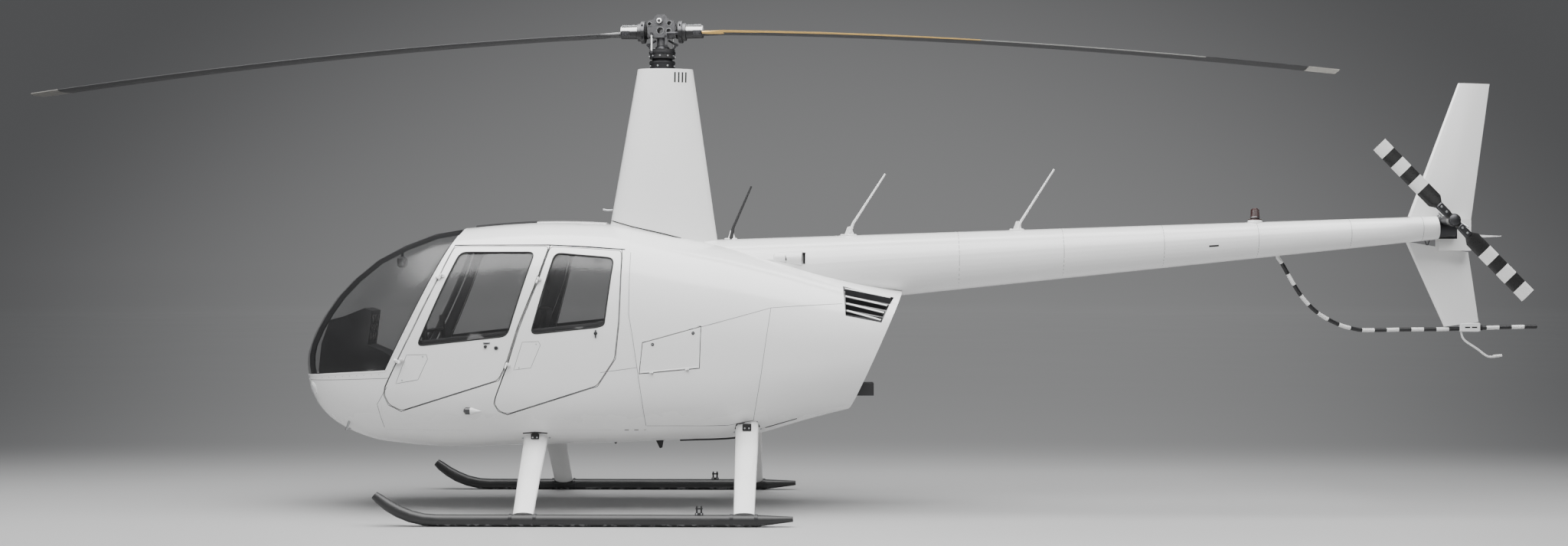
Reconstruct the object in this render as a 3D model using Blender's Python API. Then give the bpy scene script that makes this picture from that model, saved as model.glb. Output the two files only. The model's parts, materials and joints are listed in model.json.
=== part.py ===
"""Four-seat light helicopter on skids: cabin, doors, engine bay, mast, rotors, tail and gear.

Metres, +Z up. +X points aft, +Y to starboard, and the nose looks along -X.
All shapes are written in stations: metres aft of the rotor mast, on the ground at Z = 0.
MAST_X moves the stations so that the origin is the middle of the whole object's box.
"""
import math

import bpy
import numpy as np
from mathutils import Vector

MAST_X = -0.800

TOUCH = 0.0003
SEAT_GAP = 0.0008
MOVE = 0.005

for leftover in list(bpy.data.objects):
    bpy.data.objects.remove(leftover, do_unlink=True)


# Materials

def material(name, colour, roughness, metallic=0.0, alpha=1.0):
    made = bpy.data.materials.new(name)
    made.use_nodes = True
    shader = made.node_tree.nodes["Principled BSDF"]
    shader.inputs["Base Color"].default_value = (*colour, 1.0)
    shader.inputs["Roughness"].default_value = roughness
    shader.inputs["Metallic"].default_value = metallic
    shader.inputs["Alpha"].default_value = alpha
    return made


WHITE_PAINT = material("white_paint", (0.86, 0.86, 0.85), 0.28)
TINTED_GLASS = material("tinted_glass", (0.10, 0.11, 0.12), 0.06, 0.0, 0.45)
BLACK_TRIM = material("black_trim", (0.02, 0.02, 0.022), 0.55)
SEAT_COVER = material("seat_cover", (0.035, 0.035, 0.04), 0.65)
BLACK_PAINT = material("black_paint", (0.025, 0.025, 0.027), 0.35)
BARE_STEEL = material("bare_steel", (0.33, 0.34, 0.35), 0.35, 0.9)
CAST_ALLOY = material("cast_alloy", (0.20, 0.20, 0.21), 0.5, 0.7)
BLADE_PAINT = material("blade_paint", (0.11, 0.11, 0.115), 0.4)
LENS = material("lens", (0.08, 0.02, 0.02), 0.15)


# Mesh helpers

def solid(name, points, faces, look, smooth=True):
    """A closed mesh object from station coordinates, its faces turned outward."""
    mesh = bpy.data.meshes.new(name)
    mesh.from_pydata([tuple(p) for p in points], [], [tuple(f) for f in faces])
    mesh.validate()
    made = bpy.data.objects.new(name, mesh)
    bpy.context.scene.collection.objects.link(made)
    turn_outward(made)
    made.data.materials.append(look)
    if smooth:
        made.data.shade_smooth()
        made.data.set_sharp_from_angle(angle=math.radians(35))
    return made


def turn_outward(thing):
    """Flip the faces of a closed mesh if its volume comes out negative."""
    mesh = thing.data
    mesh.calc_loop_triangles()
    volume = 0.0
    for triangle in mesh.loop_triangles:
        a, b, c = [mesh.vertices[i].co for i in triangle.vertices]
        volume += a.dot(b.cross(c))
    if volume < 0:
        mesh.flip_normals()


def skin_rings(name, rings, look, smooth=True):
    """A solid through a list of closed rings with equal point counts, capped at both ends."""
    count = len(rings[0])
    points = [p for ring in rings for p in ring]
    faces = []
    for i in range(len(rings) - 1):
        for j in range(count):
            k = (j + 1) % count
            a, b, c, d = i * count + j, i * count + k, (i + 1) * count + k, (i + 1) * count + j
            faces += [(a, b, c), (a, c, d)]
    faces.append(tuple(range(count))[::-1])
    faces.append(tuple((len(rings) - 1) * count + j for j in range(count)))
    return solid(name, points, faces, look, smooth)


def prism(name, outline, y_from, y_to, look):
    """A side-view outline of (x, z) points, as a plate from y_from to y_to."""
    rings = [[(x, y, z) for x, z in outline] for y in (y_from, y_to)]
    return skin_rings(name, rings, look, smooth=False)


def box(name, x, y, z, look):
    """A block from three (low, high) pairs."""
    return prism(name, [(x[0], z[0]), (x[1], z[0]), (x[1], z[1]), (x[0], z[1])], y[0], y[1], look)


def frame_along(direction):
    """Two unit vectors square to a direction."""
    ahead = Vector(direction).normalized()
    helper = Vector((0, 1, 0)) if abs(ahead.y) < 0.9 else Vector((1, 0, 0))
    side = ahead.cross(helper).normalized()
    return side, side.cross(ahead).normalized()


def tube(name, path, radii, look, sides=12, flat=False):
    """A round bar along a list of points; radii is one radius or one for each point.

    With flat, a face instead of an edge lies uppermost and lowest.
    """
    half_step = math.pi / sides if flat else 0.0
    if not isinstance(radii, (list, tuple)):
        radii = [radii] * len(path)
    path = [Vector(p) for p in path]
    rings = []
    side = None
    for i, here in enumerate(path):
        before = path[max(i - 1, 0)]
        after = path[min(i + 1, len(path) - 1)]
        ahead = (after - before).normalized()
        if side is None:
            side, up = frame_along(ahead)
        else:
            side = (side - ahead * side.dot(ahead)).normalized()
            up = side.cross(ahead).normalized()
        ring = []
        for j in range(sides):
            turn = 2 * math.pi * j / sides + half_step
            ring.append(here + (side * math.cos(turn) + up * math.sin(turn)) * radii[i])
        rings.append(ring)
    return skin_rings(name, rings, look)


def block_along(centre, ways, spans, look):
    """A block at centre, its edges along three directions, each with a (low, high) span."""
    rings = []
    for end in spans[2]:
        base = centre + ways[2] * end
        corners = ((0, 0), (1, 0), (1, 1), (0, 1))
        rings.append([base + ways[0] * spans[0][i] + ways[1] * spans[1][j] for i, j in corners])
    return skin_rings("block", rings, look, smooth=False)


def combine(thing, tool, how):
    """Apply one exact Boolean of tool to thing, then drop the tool."""
    step = thing.modifiers.new("combine", "BOOLEAN")
    step.object = tool
    step.operation = how
    step.solver = "EXACT"
    graph = bpy.context.evaluated_depsgraph_get()
    result = bpy.data.meshes.new_from_object(thing.evaluated_get(graph))
    thing.modifiers.clear()
    thing.data = result
    bpy.data.objects.remove(tool, do_unlink=True)
    look = result.materials[0]
    result.materials.clear()
    result.materials.append(look)
    for face in result.polygons:
        face.material_index = 0
    return thing


def cut(thing, tool):
    return combine(thing, tool, "DIFFERENCE")


def keep(thing, tool):
    return combine(thing, tool, "INTERSECT")


def join(thing, tool):
    return combine(thing, tool, "UNION")


def finish(thing, name, look, origin=(0.0, 0.0, 0.0)):
    """Name a solid, give it its look, and put its origin at a station point."""
    thing.name = name
    thing.data.name = name
    thing.data.materials.clear()
    thing.data.materials.append(look)
    base = Vector(origin)
    for vertex in thing.data.vertices:
        vertex.co -= base
    thing.location = base + Vector((MAST_X, 0.0, 0.0))
    thing.data.shade_smooth()
    thing.data.set_sharp_from_angle(angle=math.radians(32))
    return thing


def grown(outline, amount):
    """Move each edge of an (x, z) outline outward by amount, or inward if negative."""
    count = len(outline)
    area = 0.0
    for i in range(count):
        a, b = outline[i], outline[(i + 1) % count]
        area += a[0] * b[1] - b[0] * a[1]
    way = 1.0 if area > 0 else -1.0
    lines = []
    for i in range(count):
        a, b = outline[i], outline[(i + 1) % count]
        length = math.hypot(b[0] - a[0], b[1] - a[1])
        nx, nz = way * (b[1] - a[1]) / length, -way * (b[0] - a[0]) / length
        lines.append((nx, nz, nx * a[0] + nz * a[1] + amount))
    result = []
    for i in range(count):
        n1, n2 = lines[i - 1], lines[i]
        det = n1[0] * n2[1] - n2[0] * n1[1]
        if abs(det) < 1e-4:
            result.append((outline[i][0] + n2[0] * amount, outline[i][1] + n2[1] * amount))
        else:
            x = (n1[2] * n2[1] - n2[2] * n1[1]) / det
            z = (n1[0] * n2[2] - n2[0] * n1[2]) / det
            result.append((x, z))
    return result


def rounded(outline, radius, steps=3):
    """Replace each corner of an (x, z) outline by a short arc."""
    result = []
    count = len(outline)
    for i in range(count):
        here = Vector(outline[i])
        to_last = Vector(outline[i - 1]) - here
        to_next = Vector(outline[(i + 1) % count]) - here
        reach = min(radius, 0.4 * to_last.length, 0.4 * to_next.length)
        start = here + to_last.normalized() * reach
        end = here + to_next.normalized() * reach
        for s in range(steps + 1):
            t = s / steps
            spot = start * (1 - t) ** 2 + here * 2 * t * (1 - t) + end * t ** 2
            result.append((spot.x, spot.y))
    return result


# Fuselage pod: one row for each section, from the nose to behind the rear face

POD_SECTIONS = [
    # station, low, high, half_width, widest_at, power
    (-2.567, 1.020, 1.100, 0.060, 1.06, 2.00),
    (-2.548, 0.915, 1.185, 0.160, 1.05, 2.05),
    (-2.500, 0.775, 1.295, 0.265, 1.05, 2.10),
    (-2.430, 0.682, 1.415, 0.355, 1.05, 2.15),
    (-2.340, 0.610, 1.540, 0.420, 1.05, 2.20),
    (-2.220, 0.548, 1.665, 0.475, 1.05, 2.30),
    (-2.060, 0.495, 1.795, 0.530, 1.05, 2.40),
    (-1.860, 0.468, 1.900, 0.578, 1.05, 2.50),
    (-1.640, 0.450, 1.983, 0.610, 1.05, 2.60),
    (-1.420, 0.444, 2.020, 0.630, 1.05, 2.70),
    (-1.100, 0.458, 2.050, 0.640, 1.05, 2.80),
    (-0.780, 0.465, 2.064, 0.640, 1.05, 2.80),
    (-0.360, 0.477, 2.050, 0.640, 1.06, 2.80),
    (-0.100, 0.488, 2.005, 0.640, 1.08, 2.75),
    (0.190, 0.499, 1.945, 0.625, 1.10, 2.70),
    (0.510, 0.512, 1.885, 0.600, 1.12, 2.60),
    (0.740, 0.550, 1.830, 0.575, 1.14, 2.50),
    (0.960, 0.615, 1.775, 0.550, 1.15, 2.45),
    (1.200, 0.680, 1.705, 0.515, 1.17, 2.40),
    (1.480, 0.750, 1.630, 0.470, 1.19, 2.40),
    (1.740, 0.820, 1.575, 0.425, 1.20, 2.40),
    (1.960, 0.880, 1.530, 0.390, 1.20, 2.40),
]
POD_SIDES = 36


def pod_grid():
    """The pod's outer points, one row for each section."""
    grid = []
    for station, low, high, half_width, widest_at, power in POD_SECTIONS:
        ring = []
        for j in range(POD_SIDES):
            turn = 2 * math.pi * (j + 0.5) / POD_SIDES
            c, s = math.cos(turn), math.sin(turn)
            y = math.copysign(half_width * abs(c) ** (2 / power), c)
            reach = high - widest_at if s > 0 else widest_at - low
            z = widest_at + math.copysign(reach * abs(s) ** (2 / power), s)
            ring.append((station, y, z))
        grid.append(ring)
    return np.array(grid)


POD_POINTS = pod_grid()


def pod_normals():
    """Outward normals on the pod's grid, by central differences."""
    along = np.gradient(POD_POINTS, axis=0)
    around = (np.roll(POD_POINTS, -1, axis=1) - np.roll(POD_POINTS, 1, axis=1)) / 2
    normals = np.cross(around, along)
    normals /= np.linalg.norm(normals, axis=2, keepdims=True)
    outward = POD_POINTS - POD_POINTS.mean(axis=1, keepdims=True)
    if (normals * outward).sum() < 0:
        normals = -normals
    normals[0, :, :] = normals[0] * 0.6 + np.array([-0.8, 0, 0])
    normals[0] /= np.linalg.norm(normals[0], axis=1, keepdims=True)
    return normals


POD_NORMALS = pod_normals()


def pod(depth=0.0):
    """The pod as a solid whose surface lies depth inside the outer skin."""
    inner = POD_POINTS - POD_NORMALS * depth
    return skin_rings("pod", [list(map(tuple, ring)) for ring in inner], WHITE_PAINT)


def pod_width(x, z):
    """Half width of the outer skin at a station and height."""
    table = np.array(POD_SECTIONS)
    low, high, half_width, widest_at, power = [np.interp(x, table[:, 0], table[:, i]) for i in range(1, 6)]
    share = (z - widest_at) / (high - widest_at) if z > widest_at else (widest_at - z) / (widest_at - low)
    return half_width * max(1 - min(share, 1.0) ** power, 0.0) ** (1 / power)


WALL = 0.034
DOOR_WALL = 0.024
DOOR_SKIN = 0.006
DOOR_STEP = 0.014
COWL_WALL = 0.008
POST_DEPTHS = (0.030, 0.062)
GLASS_DEPTHS = (0.003, 0.008)
WIDE = 0.90

# The joint between cabin and engine bay, and the slanted rear face, seen from the side
FIREWALL = [(-0.040, 0.35), (-0.078, 0.631), (-0.132, 1.004), (-0.190, 1.410), (-0.200, 2.20)]
REAR_FACE = [(1.185, 0.35), (2.020, 2.20)]


def region_ahead(gap):
    """All that lies ahead of the firewall joint, gap metres short of it."""
    outline = [(-3.0, 0.35)] + [(x - gap, z) for x, z in FIREWALL] + [(-3.0, 2.20)]
    return prism("region", outline, -WIDE, WIDE, WHITE_PAINT)


def region_behind(gap, rear_gap):
    """All that lies behind the firewall joint and ahead of the slanted rear face."""
    outline = [(x - rear_gap, z) for x, z in REAR_FACE] + [(x + gap, z) for x, z in reversed(FIREWALL)]
    return prism("region", outline, -WIDE, WIDE, WHITE_PAINT)


# Outlines seen from the side, as (x, z) points

WINDSHIELD = [(-2.70, 0.955), (-1.888, 1.014), (-1.462, 1.885), (-1.412, 1.985), (-1.395, 2.15),
              (-2.70, 2.15)]
FRONT_DOOR = [(-1.430, 1.890), (-1.515, 1.687), (-1.683, 1.335), (-1.802, 1.095), (-1.896, 0.902),
              (-1.905, 0.848), (-1.875, 0.778), (-1.786, 0.735), (-1.089, 0.955), (-1.039, 1.051),
              (-0.958, 1.315), (-0.829, 1.649), (-0.757, 1.890)]
REAR_DOOR = [(-0.749, 1.890), (-0.820, 1.649), (-0.949, 1.315), (-1.030, 1.051), (-1.113, 0.832),
             (-1.123, 0.791), (-1.094, 0.738), (-1.033, 0.716), (-0.402, 0.916), (-0.278, 1.105),
             (-0.252, 1.363), (-0.246, 1.574), (-0.244, 1.803), (-0.250, 1.860)]
FRONT_WINDOW = [(-1.384, 1.846), (-0.856, 1.846), (-1.031, 1.262), (-1.663, 1.192)]
REAR_WINDOW = [(-0.712, 1.841), (-0.299, 1.805), (-0.356, 1.339), (-0.401, 1.324), (-0.866, 1.275)]
DOOR_POST = [(-0.789, 1.9295), (-0.860, 1.649), (-0.989, 1.315), (-1.070, 1.051), (-1.150, 0.800),
             (-1.175, 0.700), (-1.085, 0.680), (-1.075, 0.780), (-0.990, 1.051), (-0.909, 1.315),
             (-0.780, 1.649), (-0.709, 1.9295)]
ROOF_JOINT = 1.930
BOW_HALF = 0.0125
SIDES = (("left", -1), ("right", 1))


def side_prism(outline, side, inner=0.06, outer=WIDE):
    """A side-view outline swept outward on one side only."""
    return prism("tool", outline, side * inner, side * outer, WHITE_PAINT)


# Cabin: nose bowl, belly pan, sides with their door posts, roof, windshield

NOSE_JOINT = -1.930
PAN_JOINT = 0.600
FAR = 3.0


def shell_between(x, z):
    """The cabin's wall between two stations and two heights, with the windshield's opening."""
    shell = cut(keep(pod(), region_ahead(TOUCH)), pod(WALL))
    shell = keep(shell, box("slab", x, (-WIDE, WIDE), z, WHITE_PAINT))
    return cut(shell, prism("tool", WINDSHIELD, -WIDE, WIDE, WHITE_PAINT))


def build_cabin():
    """Make the fixed panels of the cabin, and return its two sides, which still need their hinges."""
    finish(shell_between((-FAR, NOSE_JOINT - TOUCH), (0.0, FAR)), "nose_bowl", WHITE_PAINT)
    finish(shell_between((NOSE_JOINT, FAR), (0.0, PAN_JOINT - TOUCH)), "belly_pan", WHITE_PAINT)
    finish(shell_between((NOSE_JOINT, FAR), (ROOF_JOINT + TOUCH, FAR)), "roof_panel", WHITE_PAINT)
    sides = {}
    for word, side in SIDES:
        wall = shell_between((NOSE_JOINT, FAR), (PAN_JOINT, ROOF_JOINT))
        wall = keep(wall, side_prism([(-FAR, 0.0), (FAR, 0.0), (FAR, FAR), (-FAR, FAR)], side, 0.0))
        for outline in (FRONT_DOOR, REAR_DOOR):
            wall = cut(wall, side_prism(grown(outline, MOVE), side, 0.2))
        post = keep(pod(POST_DEPTHS[0]), side_prism(DOOR_POST, side, 0.2))
        sides[word] = join(wall, cut(post, pod(POST_DEPTHS[1])))

    inset = grown(WINDSHIELD, -TOUCH)
    bow = keep(pod(), prism("tool", inset, -BOW_HALF, BOW_HALF, BLACK_TRIM))
    bow = cut(bow, pod(WALL))
    finish(bow, "windshield_bow", BLACK_TRIM)
    for word, side in SIDES:
        pane = keep(pod(GLASS_DEPTHS[0]), side_prism(inset, side, BOW_HALF + TOUCH))
        pane = cut(pane, pod(GLASS_DEPTHS[1]))
        finish(pane, "windshield_" + word, TINTED_GLASS)
    return sides


# Hinges: a bored knuckle on the leaf sits above a knuckle with a pin on what carries it

PIN_GAP = 0.0005
PIN_RADIUS = 0.0030
KNUCKLE_RADIUS = 0.0075
KNUCKLE_LONG = 0.022
SET_OFF = 0.0005


def hinge_ways(foot, top, side):
    """Three directions at a hinge: along its line, outward, and from the leaf to its carrier."""
    along = (top - foot).normalized()
    out = Vector((0, side, 0))
    out = (out - along * out.dot(along)).normalized()
    return along, out, along.cross(out) * side


def knuckle(centre, ways, span, arms, radius):
    """A barrel along the hinge line, and its arms as (outward span, span to the carrier) pairs."""
    barrel = tube("knuckle", [centre + ways[0] * end for end in span], radius, BARE_STEEL, 10)
    for i, (out_span, away_span) in enumerate(arms):
        inset = (span[0] + SET_OFF * (i + 1), span[1] - SET_OFF * (i + 1))
        barrel = join(barrel, block_along(centre, ways, (inset, out_span, away_span), BARE_STEEL))
    return barrel


def add_hinge(leaf, carrier, centre, ways, leaf_arm, carrier_arms, size=1.0):
    """Join one hinge's two halves to the leaf and to its carrier."""
    long, radius, pin_radius = KNUCKLE_LONG * size, KNUCKLE_RADIUS * size, PIN_RADIUS * size
    leaf = join(leaf, knuckle(centre, ways, (PIN_GAP / 2, long), [leaf_arm], radius))
    bore = [centre - ways[0] * long, centre + ways[0] * 2 * long]
    leaf = cut(leaf, tube("bore", bore, pin_radius + PIN_GAP, BARE_STEEL, 8))
    carrier = join(carrier, knuckle(centre, ways, (-long, -PIN_GAP / 2), carrier_arms, radius))
    pin = [centre - ways[0] * 0.8 * long, centre + ways[0] * 1.1 * long]
    carrier = join(carrier, tube("pin", pin, pin_radius, BARE_STEEL, 8))
    return leaf, carrier


# Doors: outline, window, the two points of the hinge line, and how far ahead of each the leaf goes

HINGE_OUT = 0.018
DOORS = [
    ("door_front", FRONT_DOOR, FRONT_WINDOW, ((-1.511, 1.677), (-1.781, 1.089)), (0.0085, 0.0220)),
    ("door_rear", REAR_DOOR, REAR_WINDOW, ((-0.824, 1.651), (-1.034, 1.059)), (-0.0045, -0.0060)),
]
LEAF_ARM = ((-HINGE_OUT - 0.004, 0.001), (-0.025, -0.002))
POST_ARM = ((-HINGE_OUT - 0.036, 0.002), (-0.001, 0.006))
NOTCH = ((-KNUCKLE_LONG - 0.006, KNUCKLE_LONG + 0.006), (-0.07, 0.03), (-0.02, 0.0135))


def hinge_line(points, side):
    """Both ends of a door's hinge line, just outside the skin."""
    return [Vector((x, side * (pod_width(x, z) + HINGE_OUT), z)) for x, z in points]


def pillar_arms(reach):
    """The arms that come over a leaf's front edge from the pillar ahead of it."""
    edge = reach + MOVE
    bridge = ((-HINGE_OUT + 0.0065, 0.002), (0.0, edge + 0.014))
    foot = ((-HINGE_OUT - 0.012, 0.0015), (edge + 0.002, edge + 0.0135))
    return [bridge, foot]


def build_doors(sides):
    """Make the four doors and their glass, and hang them on the cabin's sides."""
    for word, side in SIDES:
        carrier = sides[word]
        rear_line = hinge_line(DOORS[1][3], side)
        rear_ways = hinge_ways(rear_line[1], rear_line[0], side)
        for name, outline, window, points, reaches in DOORS:
            window = rounded(window, 0.045)
            leaf = cut(keep(pod(), side_prism(outline, side, 0.2)), pod(DOOR_SKIN))
            pan = keep(pod(0.6 * DOOR_SKIN), side_prism(grown(outline, -DOOR_STEP), side, 0.2))
            leaf = join(leaf, cut(pan, pod(DOOR_WALL)))
            leaf = cut(leaf, side_prism(window, side, 0.2))
            line = hinge_line(points, side)
            ways = hinge_ways(line[1], line[0], side)
            front = name == "door_front"
            for i in range(2):
                if front:
                    leaf = cut(leaf, block_along(rear_line[i], rear_ways, NOTCH, WHITE_PAINT))
                arms = pillar_arms(reaches[i]) if front else [POST_ARM]
                leaf, carrier = add_hinge(leaf, carrier, line[i], ways, LEAF_ARM, arms)
            finish(leaf, name + "_" + word, WHITE_PAINT, line[0])
            pane = keep(pod(GLASS_DEPTHS[0]), side_prism(grown(window, -TOUCH), side, 0.2))
            pane = cut(pane, pod(GLASS_DEPTHS[1]))
            finish(pane, name + "_glass_" + word, TINTED_GLASS, line[0])
            print(name, word, "hinge", [round(v, 4) for v in line[0] + Vector((MAST_X, 0, 0))],
                  "axis", [round(v, 5) for v in ways[0]])
        finish(carrier, "cabin_side_" + word, WHITE_PAINT)


# Interior

FLOOR_Z = 0.580
BULKHEAD_THICK = 0.022
SEAT_BOX_HALF = 0.46
SEAT_Y = 0.300
SEATS = [
    # name, half width, cushion's (front, back), box top, cushion top, side-view outline of the back
    ("front_seat", 0.20, (-1.44, -0.98), 0.840, 0.925,
     [(-1.055, 0.9255), (-0.975, 0.9255), (-0.855, 1.460), (-0.925, 1.475)]),
    ("rear_seat", 0.25, (-0.70, -0.33), 0.860, 0.945,
     [(-0.345, 0.9455), (-0.235, 0.9455), (-0.268, 1.420), (-0.345, 1.440)]),
]
# Boxes under the seats as (front, back, top)
SEAT_BOXES = [(-1.42, -1.00, SEATS[0][3]), (-0.66, -0.26, SEATS[1][3])]
CONSOLE = [(-2.420, 0.60), (-2.300, FLOOR_Z + TOUCH), (-1.960, FLOOR_Z + TOUCH), (-1.990, 0.90),
           (-1.950, 1.100), (-2.010, 1.135), (-2.115, 1.180), (-2.085, 1.425), (-2.140, 1.445),
           (-2.290, 1.385), (-2.390, 1.360), (-2.450, 1.190), (-2.470, 1.000), (-2.455, 0.80)]
CONSOLE_HALF = 0.14
# The centre stick leans aft and carries a cross bar with a grip at each end
STICK_PATH = [(-1.86, FLOOR_Z + TOUCH), (-1.86, 0.64), (-1.84, 0.90), (-1.72, 1.20), (-1.665, 1.295)]
STICK_RADIUS = 0.014
BAR_AT = (-1.665, 1.285)
BAR_HALF = 0.33
BAR_RADIUS = 0.012
GRIP_ENDS = ((-1.672, 1.385), (-1.660, 1.180))
GRIP_RADIUS = 0.019


def build_interior():
    floor = box("floor", (-FAR, 0.1), (-WIDE, WIDE), (0.40, FLOOR_Z), BLACK_TRIM)
    for front, back, top in SEAT_BOXES:
        across, up = (-SEAT_BOX_HALF, SEAT_BOX_HALF), (FLOOR_Z - 0.02, top)
        seat_box = box("tool", (front, back), across, up, BLACK_TRIM)
        floor = join(floor, seat_box)
    floor = keep(floor, pod(WALL + SEAT_GAP))
    floor = keep(floor, region_ahead(BULKHEAD_THICK + 0.001))
    finish(floor, "cabin_floor", BLACK_TRIM)

    wall = keep(pod(WALL + SEAT_GAP), region_ahead(TOUCH))
    wall = cut(wall, region_ahead(BULKHEAD_THICK))
    finish(wall, "rear_bulkhead", BLACK_TRIM)

    console = keep(prism("console", CONSOLE, -CONSOLE_HALF, CONSOLE_HALF, BLACK_TRIM), pod(WALL + 0.002))
    finish(console, "console", BLACK_TRIM)

    for name, half, depth, box_top, top, back in SEATS:
        for word, side in SIDES:
            across = (side * SEAT_Y - half, side * SEAT_Y + half)
            cushion = box("seat", depth, across, (box_top + TOUCH, top), SEAT_COVER)
            finish(cushion, name + "_cushion_" + word, SEAT_COVER)
            finish(prism("rest", back, *across, SEAT_COVER), name + "_back_" + word, SEAT_COVER)

    stick = tube("stick", [(x, 0, z) for x, z in STICK_PATH], STICK_RADIUS, BLACK_TRIM)
    stick = join(stick, tube("bar", [(BAR_AT[0], y, BAR_AT[1]) for y in (-BAR_HALF, BAR_HALF)], BAR_RADIUS,
                             BLACK_TRIM))
    for _, side in SIDES:
        grip = [(x, side * BAR_HALF, z) for x, z in GRIP_ENDS]
        stick = join(stick, tube("grip", grip, GRIP_RADIUS, BLACK_TRIM))
    finish(stick, "control_stick", BLACK_TRIM)


# Tail cone

CONE_FRONT = (0.300, 1.6610)
CONE_END = (5.597, 2.0240)
CONE_FRONT_RADIUS = 0.2755
CONE_END_RADIUS = 0.0835
CONE_SIDES = 32
CONE_WALL = 0.006
CONE_FROM = Vector((CONE_FRONT[0], 0, CONE_FRONT[1]))
CONE_TO = Vector((CONE_END[0], 0, CONE_END[1]))
CONE_AHEAD = (CONE_TO - CONE_FROM).normalized()


def cone(extra=0.0, beyond=0.0):
    """The tail cone, optionally fatter all round and longer at both ends."""
    slope = (CONE_END_RADIUS - CONE_FRONT_RADIUS) / (CONE_TO - CONE_FROM).length
    path = [CONE_FROM - CONE_AHEAD * beyond, CONE_TO + CONE_AHEAD * beyond]
    radii = [CONE_FRONT_RADIUS - slope * beyond + extra, CONE_END_RADIUS + slope * beyond + extra]
    return tube("cone", path, radii, WHITE_PAINT, CONE_SIDES)


def inner_cone():
    """The hollow of the tail cone, open at the front and closed before the rear end."""
    path = [CONE_FROM - CONE_AHEAD * 0.05, CONE_TO - CONE_AHEAD * 0.06]
    radii = [CONE_FRONT_RADIUS - CONE_WALL, CONE_END_RADIUS - CONE_WALL]
    return tube("hollow", path, radii, WHITE_PAINT, CONE_SIDES)


def cone_at(x):
    """Centre height and radius of the tail cone at a station."""
    share = (x - CONE_FRONT[0]) / (CONE_END[0] - CONE_FRONT[0])
    centre = CONE_FRONT[1] + share * (CONE_END[1] - CONE_FRONT[1])
    radius = CONE_FRONT_RADIUS + share * (CONE_END_RADIUS - CONE_FRONT_RADIUS)
    return centre, radius


# Engine bay: cowl, its doors, grilles, exhaust box, engine

COWL_DOOR = [(-0.086, 1.215), (0.313, 1.325), (0.303, 1.041), (-0.108, 1.004)]
GRILLE_SLOTS = [
    [(1.322, 1.590), (1.670, 1.525), (1.640, 1.480), (1.322, 1.543)],
    [(1.322, 1.533), (1.634, 1.471), (1.612, 1.436), (1.322, 1.494)],
    [(1.322, 1.484), (1.606, 1.427), (1.586, 1.392), (1.322, 1.443)],
    [(1.322, 1.433), (1.580, 1.383), (1.571, 1.369), (1.322, 1.409)],
]
# Engine, its bed and the exhaust box, each as three (low, high) pairs
ENGINE = ((0.18, 0.93), (-0.40, 0.40), (0.82, 1.28))
ENGINE_BED = ((0.28, 0.86), (-0.18, 0.18), (0.45, 0.84))
EXHAUST = ((1.405, 1.525), (-0.32, -0.16), (0.830, 0.918))
COWL_HINGE_OUT = 0.008
COWL_HINGE_SIZE = 0.6
COWL_LEAF_ARM = ((-COWL_HINGE_OUT - 0.0045, 0.0006), (-0.014, -0.001))
COWL_ARM = ((-COWL_HINGE_OUT - 0.0045, 0.0006), (0.001, 0.016))


def build_engine_bay():
    cowl = keep(pod(), region_behind(TOUCH, 0.0))
    cavity = keep(pod(COWL_WALL), region_behind(-0.1, COWL_WALL))
    cowl = cut(cowl, cavity)
    cowl = cut(cowl, cone(TOUCH, 0.05))
    for _, side in SIDES:
        for slot in GRILLE_SLOTS:
            cowl = cut(cowl, side_prism(slot, side, 0.10))
        cowl = cut(cowl, side_prism(grown(COWL_DOOR, MOVE), side, 0.3))
    for word, side in SIDES:
        leaf = cut(keep(pod(), side_prism(COWL_DOOR, side, 0.3)), pod(COWL_WALL))
        line = []
        for x, z in (COWL_DOOR[3], COWL_DOOR[2]):
            line.append(Vector((x, side * (pod_width(x, z) + COWL_HINGE_OUT), z - 0.002)))
        ways = hinge_ways(line[1], line[0], side)
        for share in (0.2, 0.8):
            centre = line[0].lerp(line[1], share)
            leaf, cowl = add_hinge(leaf, cowl, centre, ways, COWL_LEAF_ARM, [COWL_ARM], COWL_HINGE_SIZE)
        finish(leaf, "cowl_door_" + word, WHITE_PAINT, line[0])
        print("cowl_door", word, "hinge", [round(v, 4) for v in line[0] + Vector((MAST_X, 0, 0))],
              "axis", [round(v, 5) for v in -ways[0]])
    finish(cowl, "engine_cowl", WHITE_PAINT)
    engine = join(box("engine", *ENGINE, CAST_ALLOY), box("bed", *ENGINE_BED, CAST_ALLOY))
    engine = keep(engine, pod(COWL_WALL + SEAT_GAP))
    finish(engine, "engine_block", CAST_ALLOY)
    exhaust = box("exhaust", *EXHAUST, BLACK_TRIM)
    exhaust = cut(exhaust, region_behind(0.0, -TOUCH))
    finish(exhaust, "exhaust_box", BLACK_TRIM)


# Mast fairing and the fixed swashplate on its top

FAIRING_TOP = 3.174
SWASHPLATE_RADIUS = 0.092
SWASHPLATE_Z = (3.250, 3.318)
FAIRING_ROWS = [
    # height, front, rear, half width
    (1.700, -0.438, 0.434, 0.170),
    (2.054, -0.376, 0.383, 0.158),
    (2.600, -0.279, 0.305, 0.125),
    (FAIRING_TOP, -0.178, 0.222, 0.092),
]


def fairing_ring(height, front, rear, half_width, sides=28):
    """A drop-shaped section, round in front and narrow behind."""
    ring = []
    middle, half_length = (front + rear) / 2, (rear - front) / 2
    for j in range(sides):
        turn = 2 * math.pi * j / sides
        u = math.cos(turn)
        y = half_width * math.sin(turn) * (1.0 - 0.30 * u)
        ring.append((middle + half_length * u, y, height))
    return ring


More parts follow.
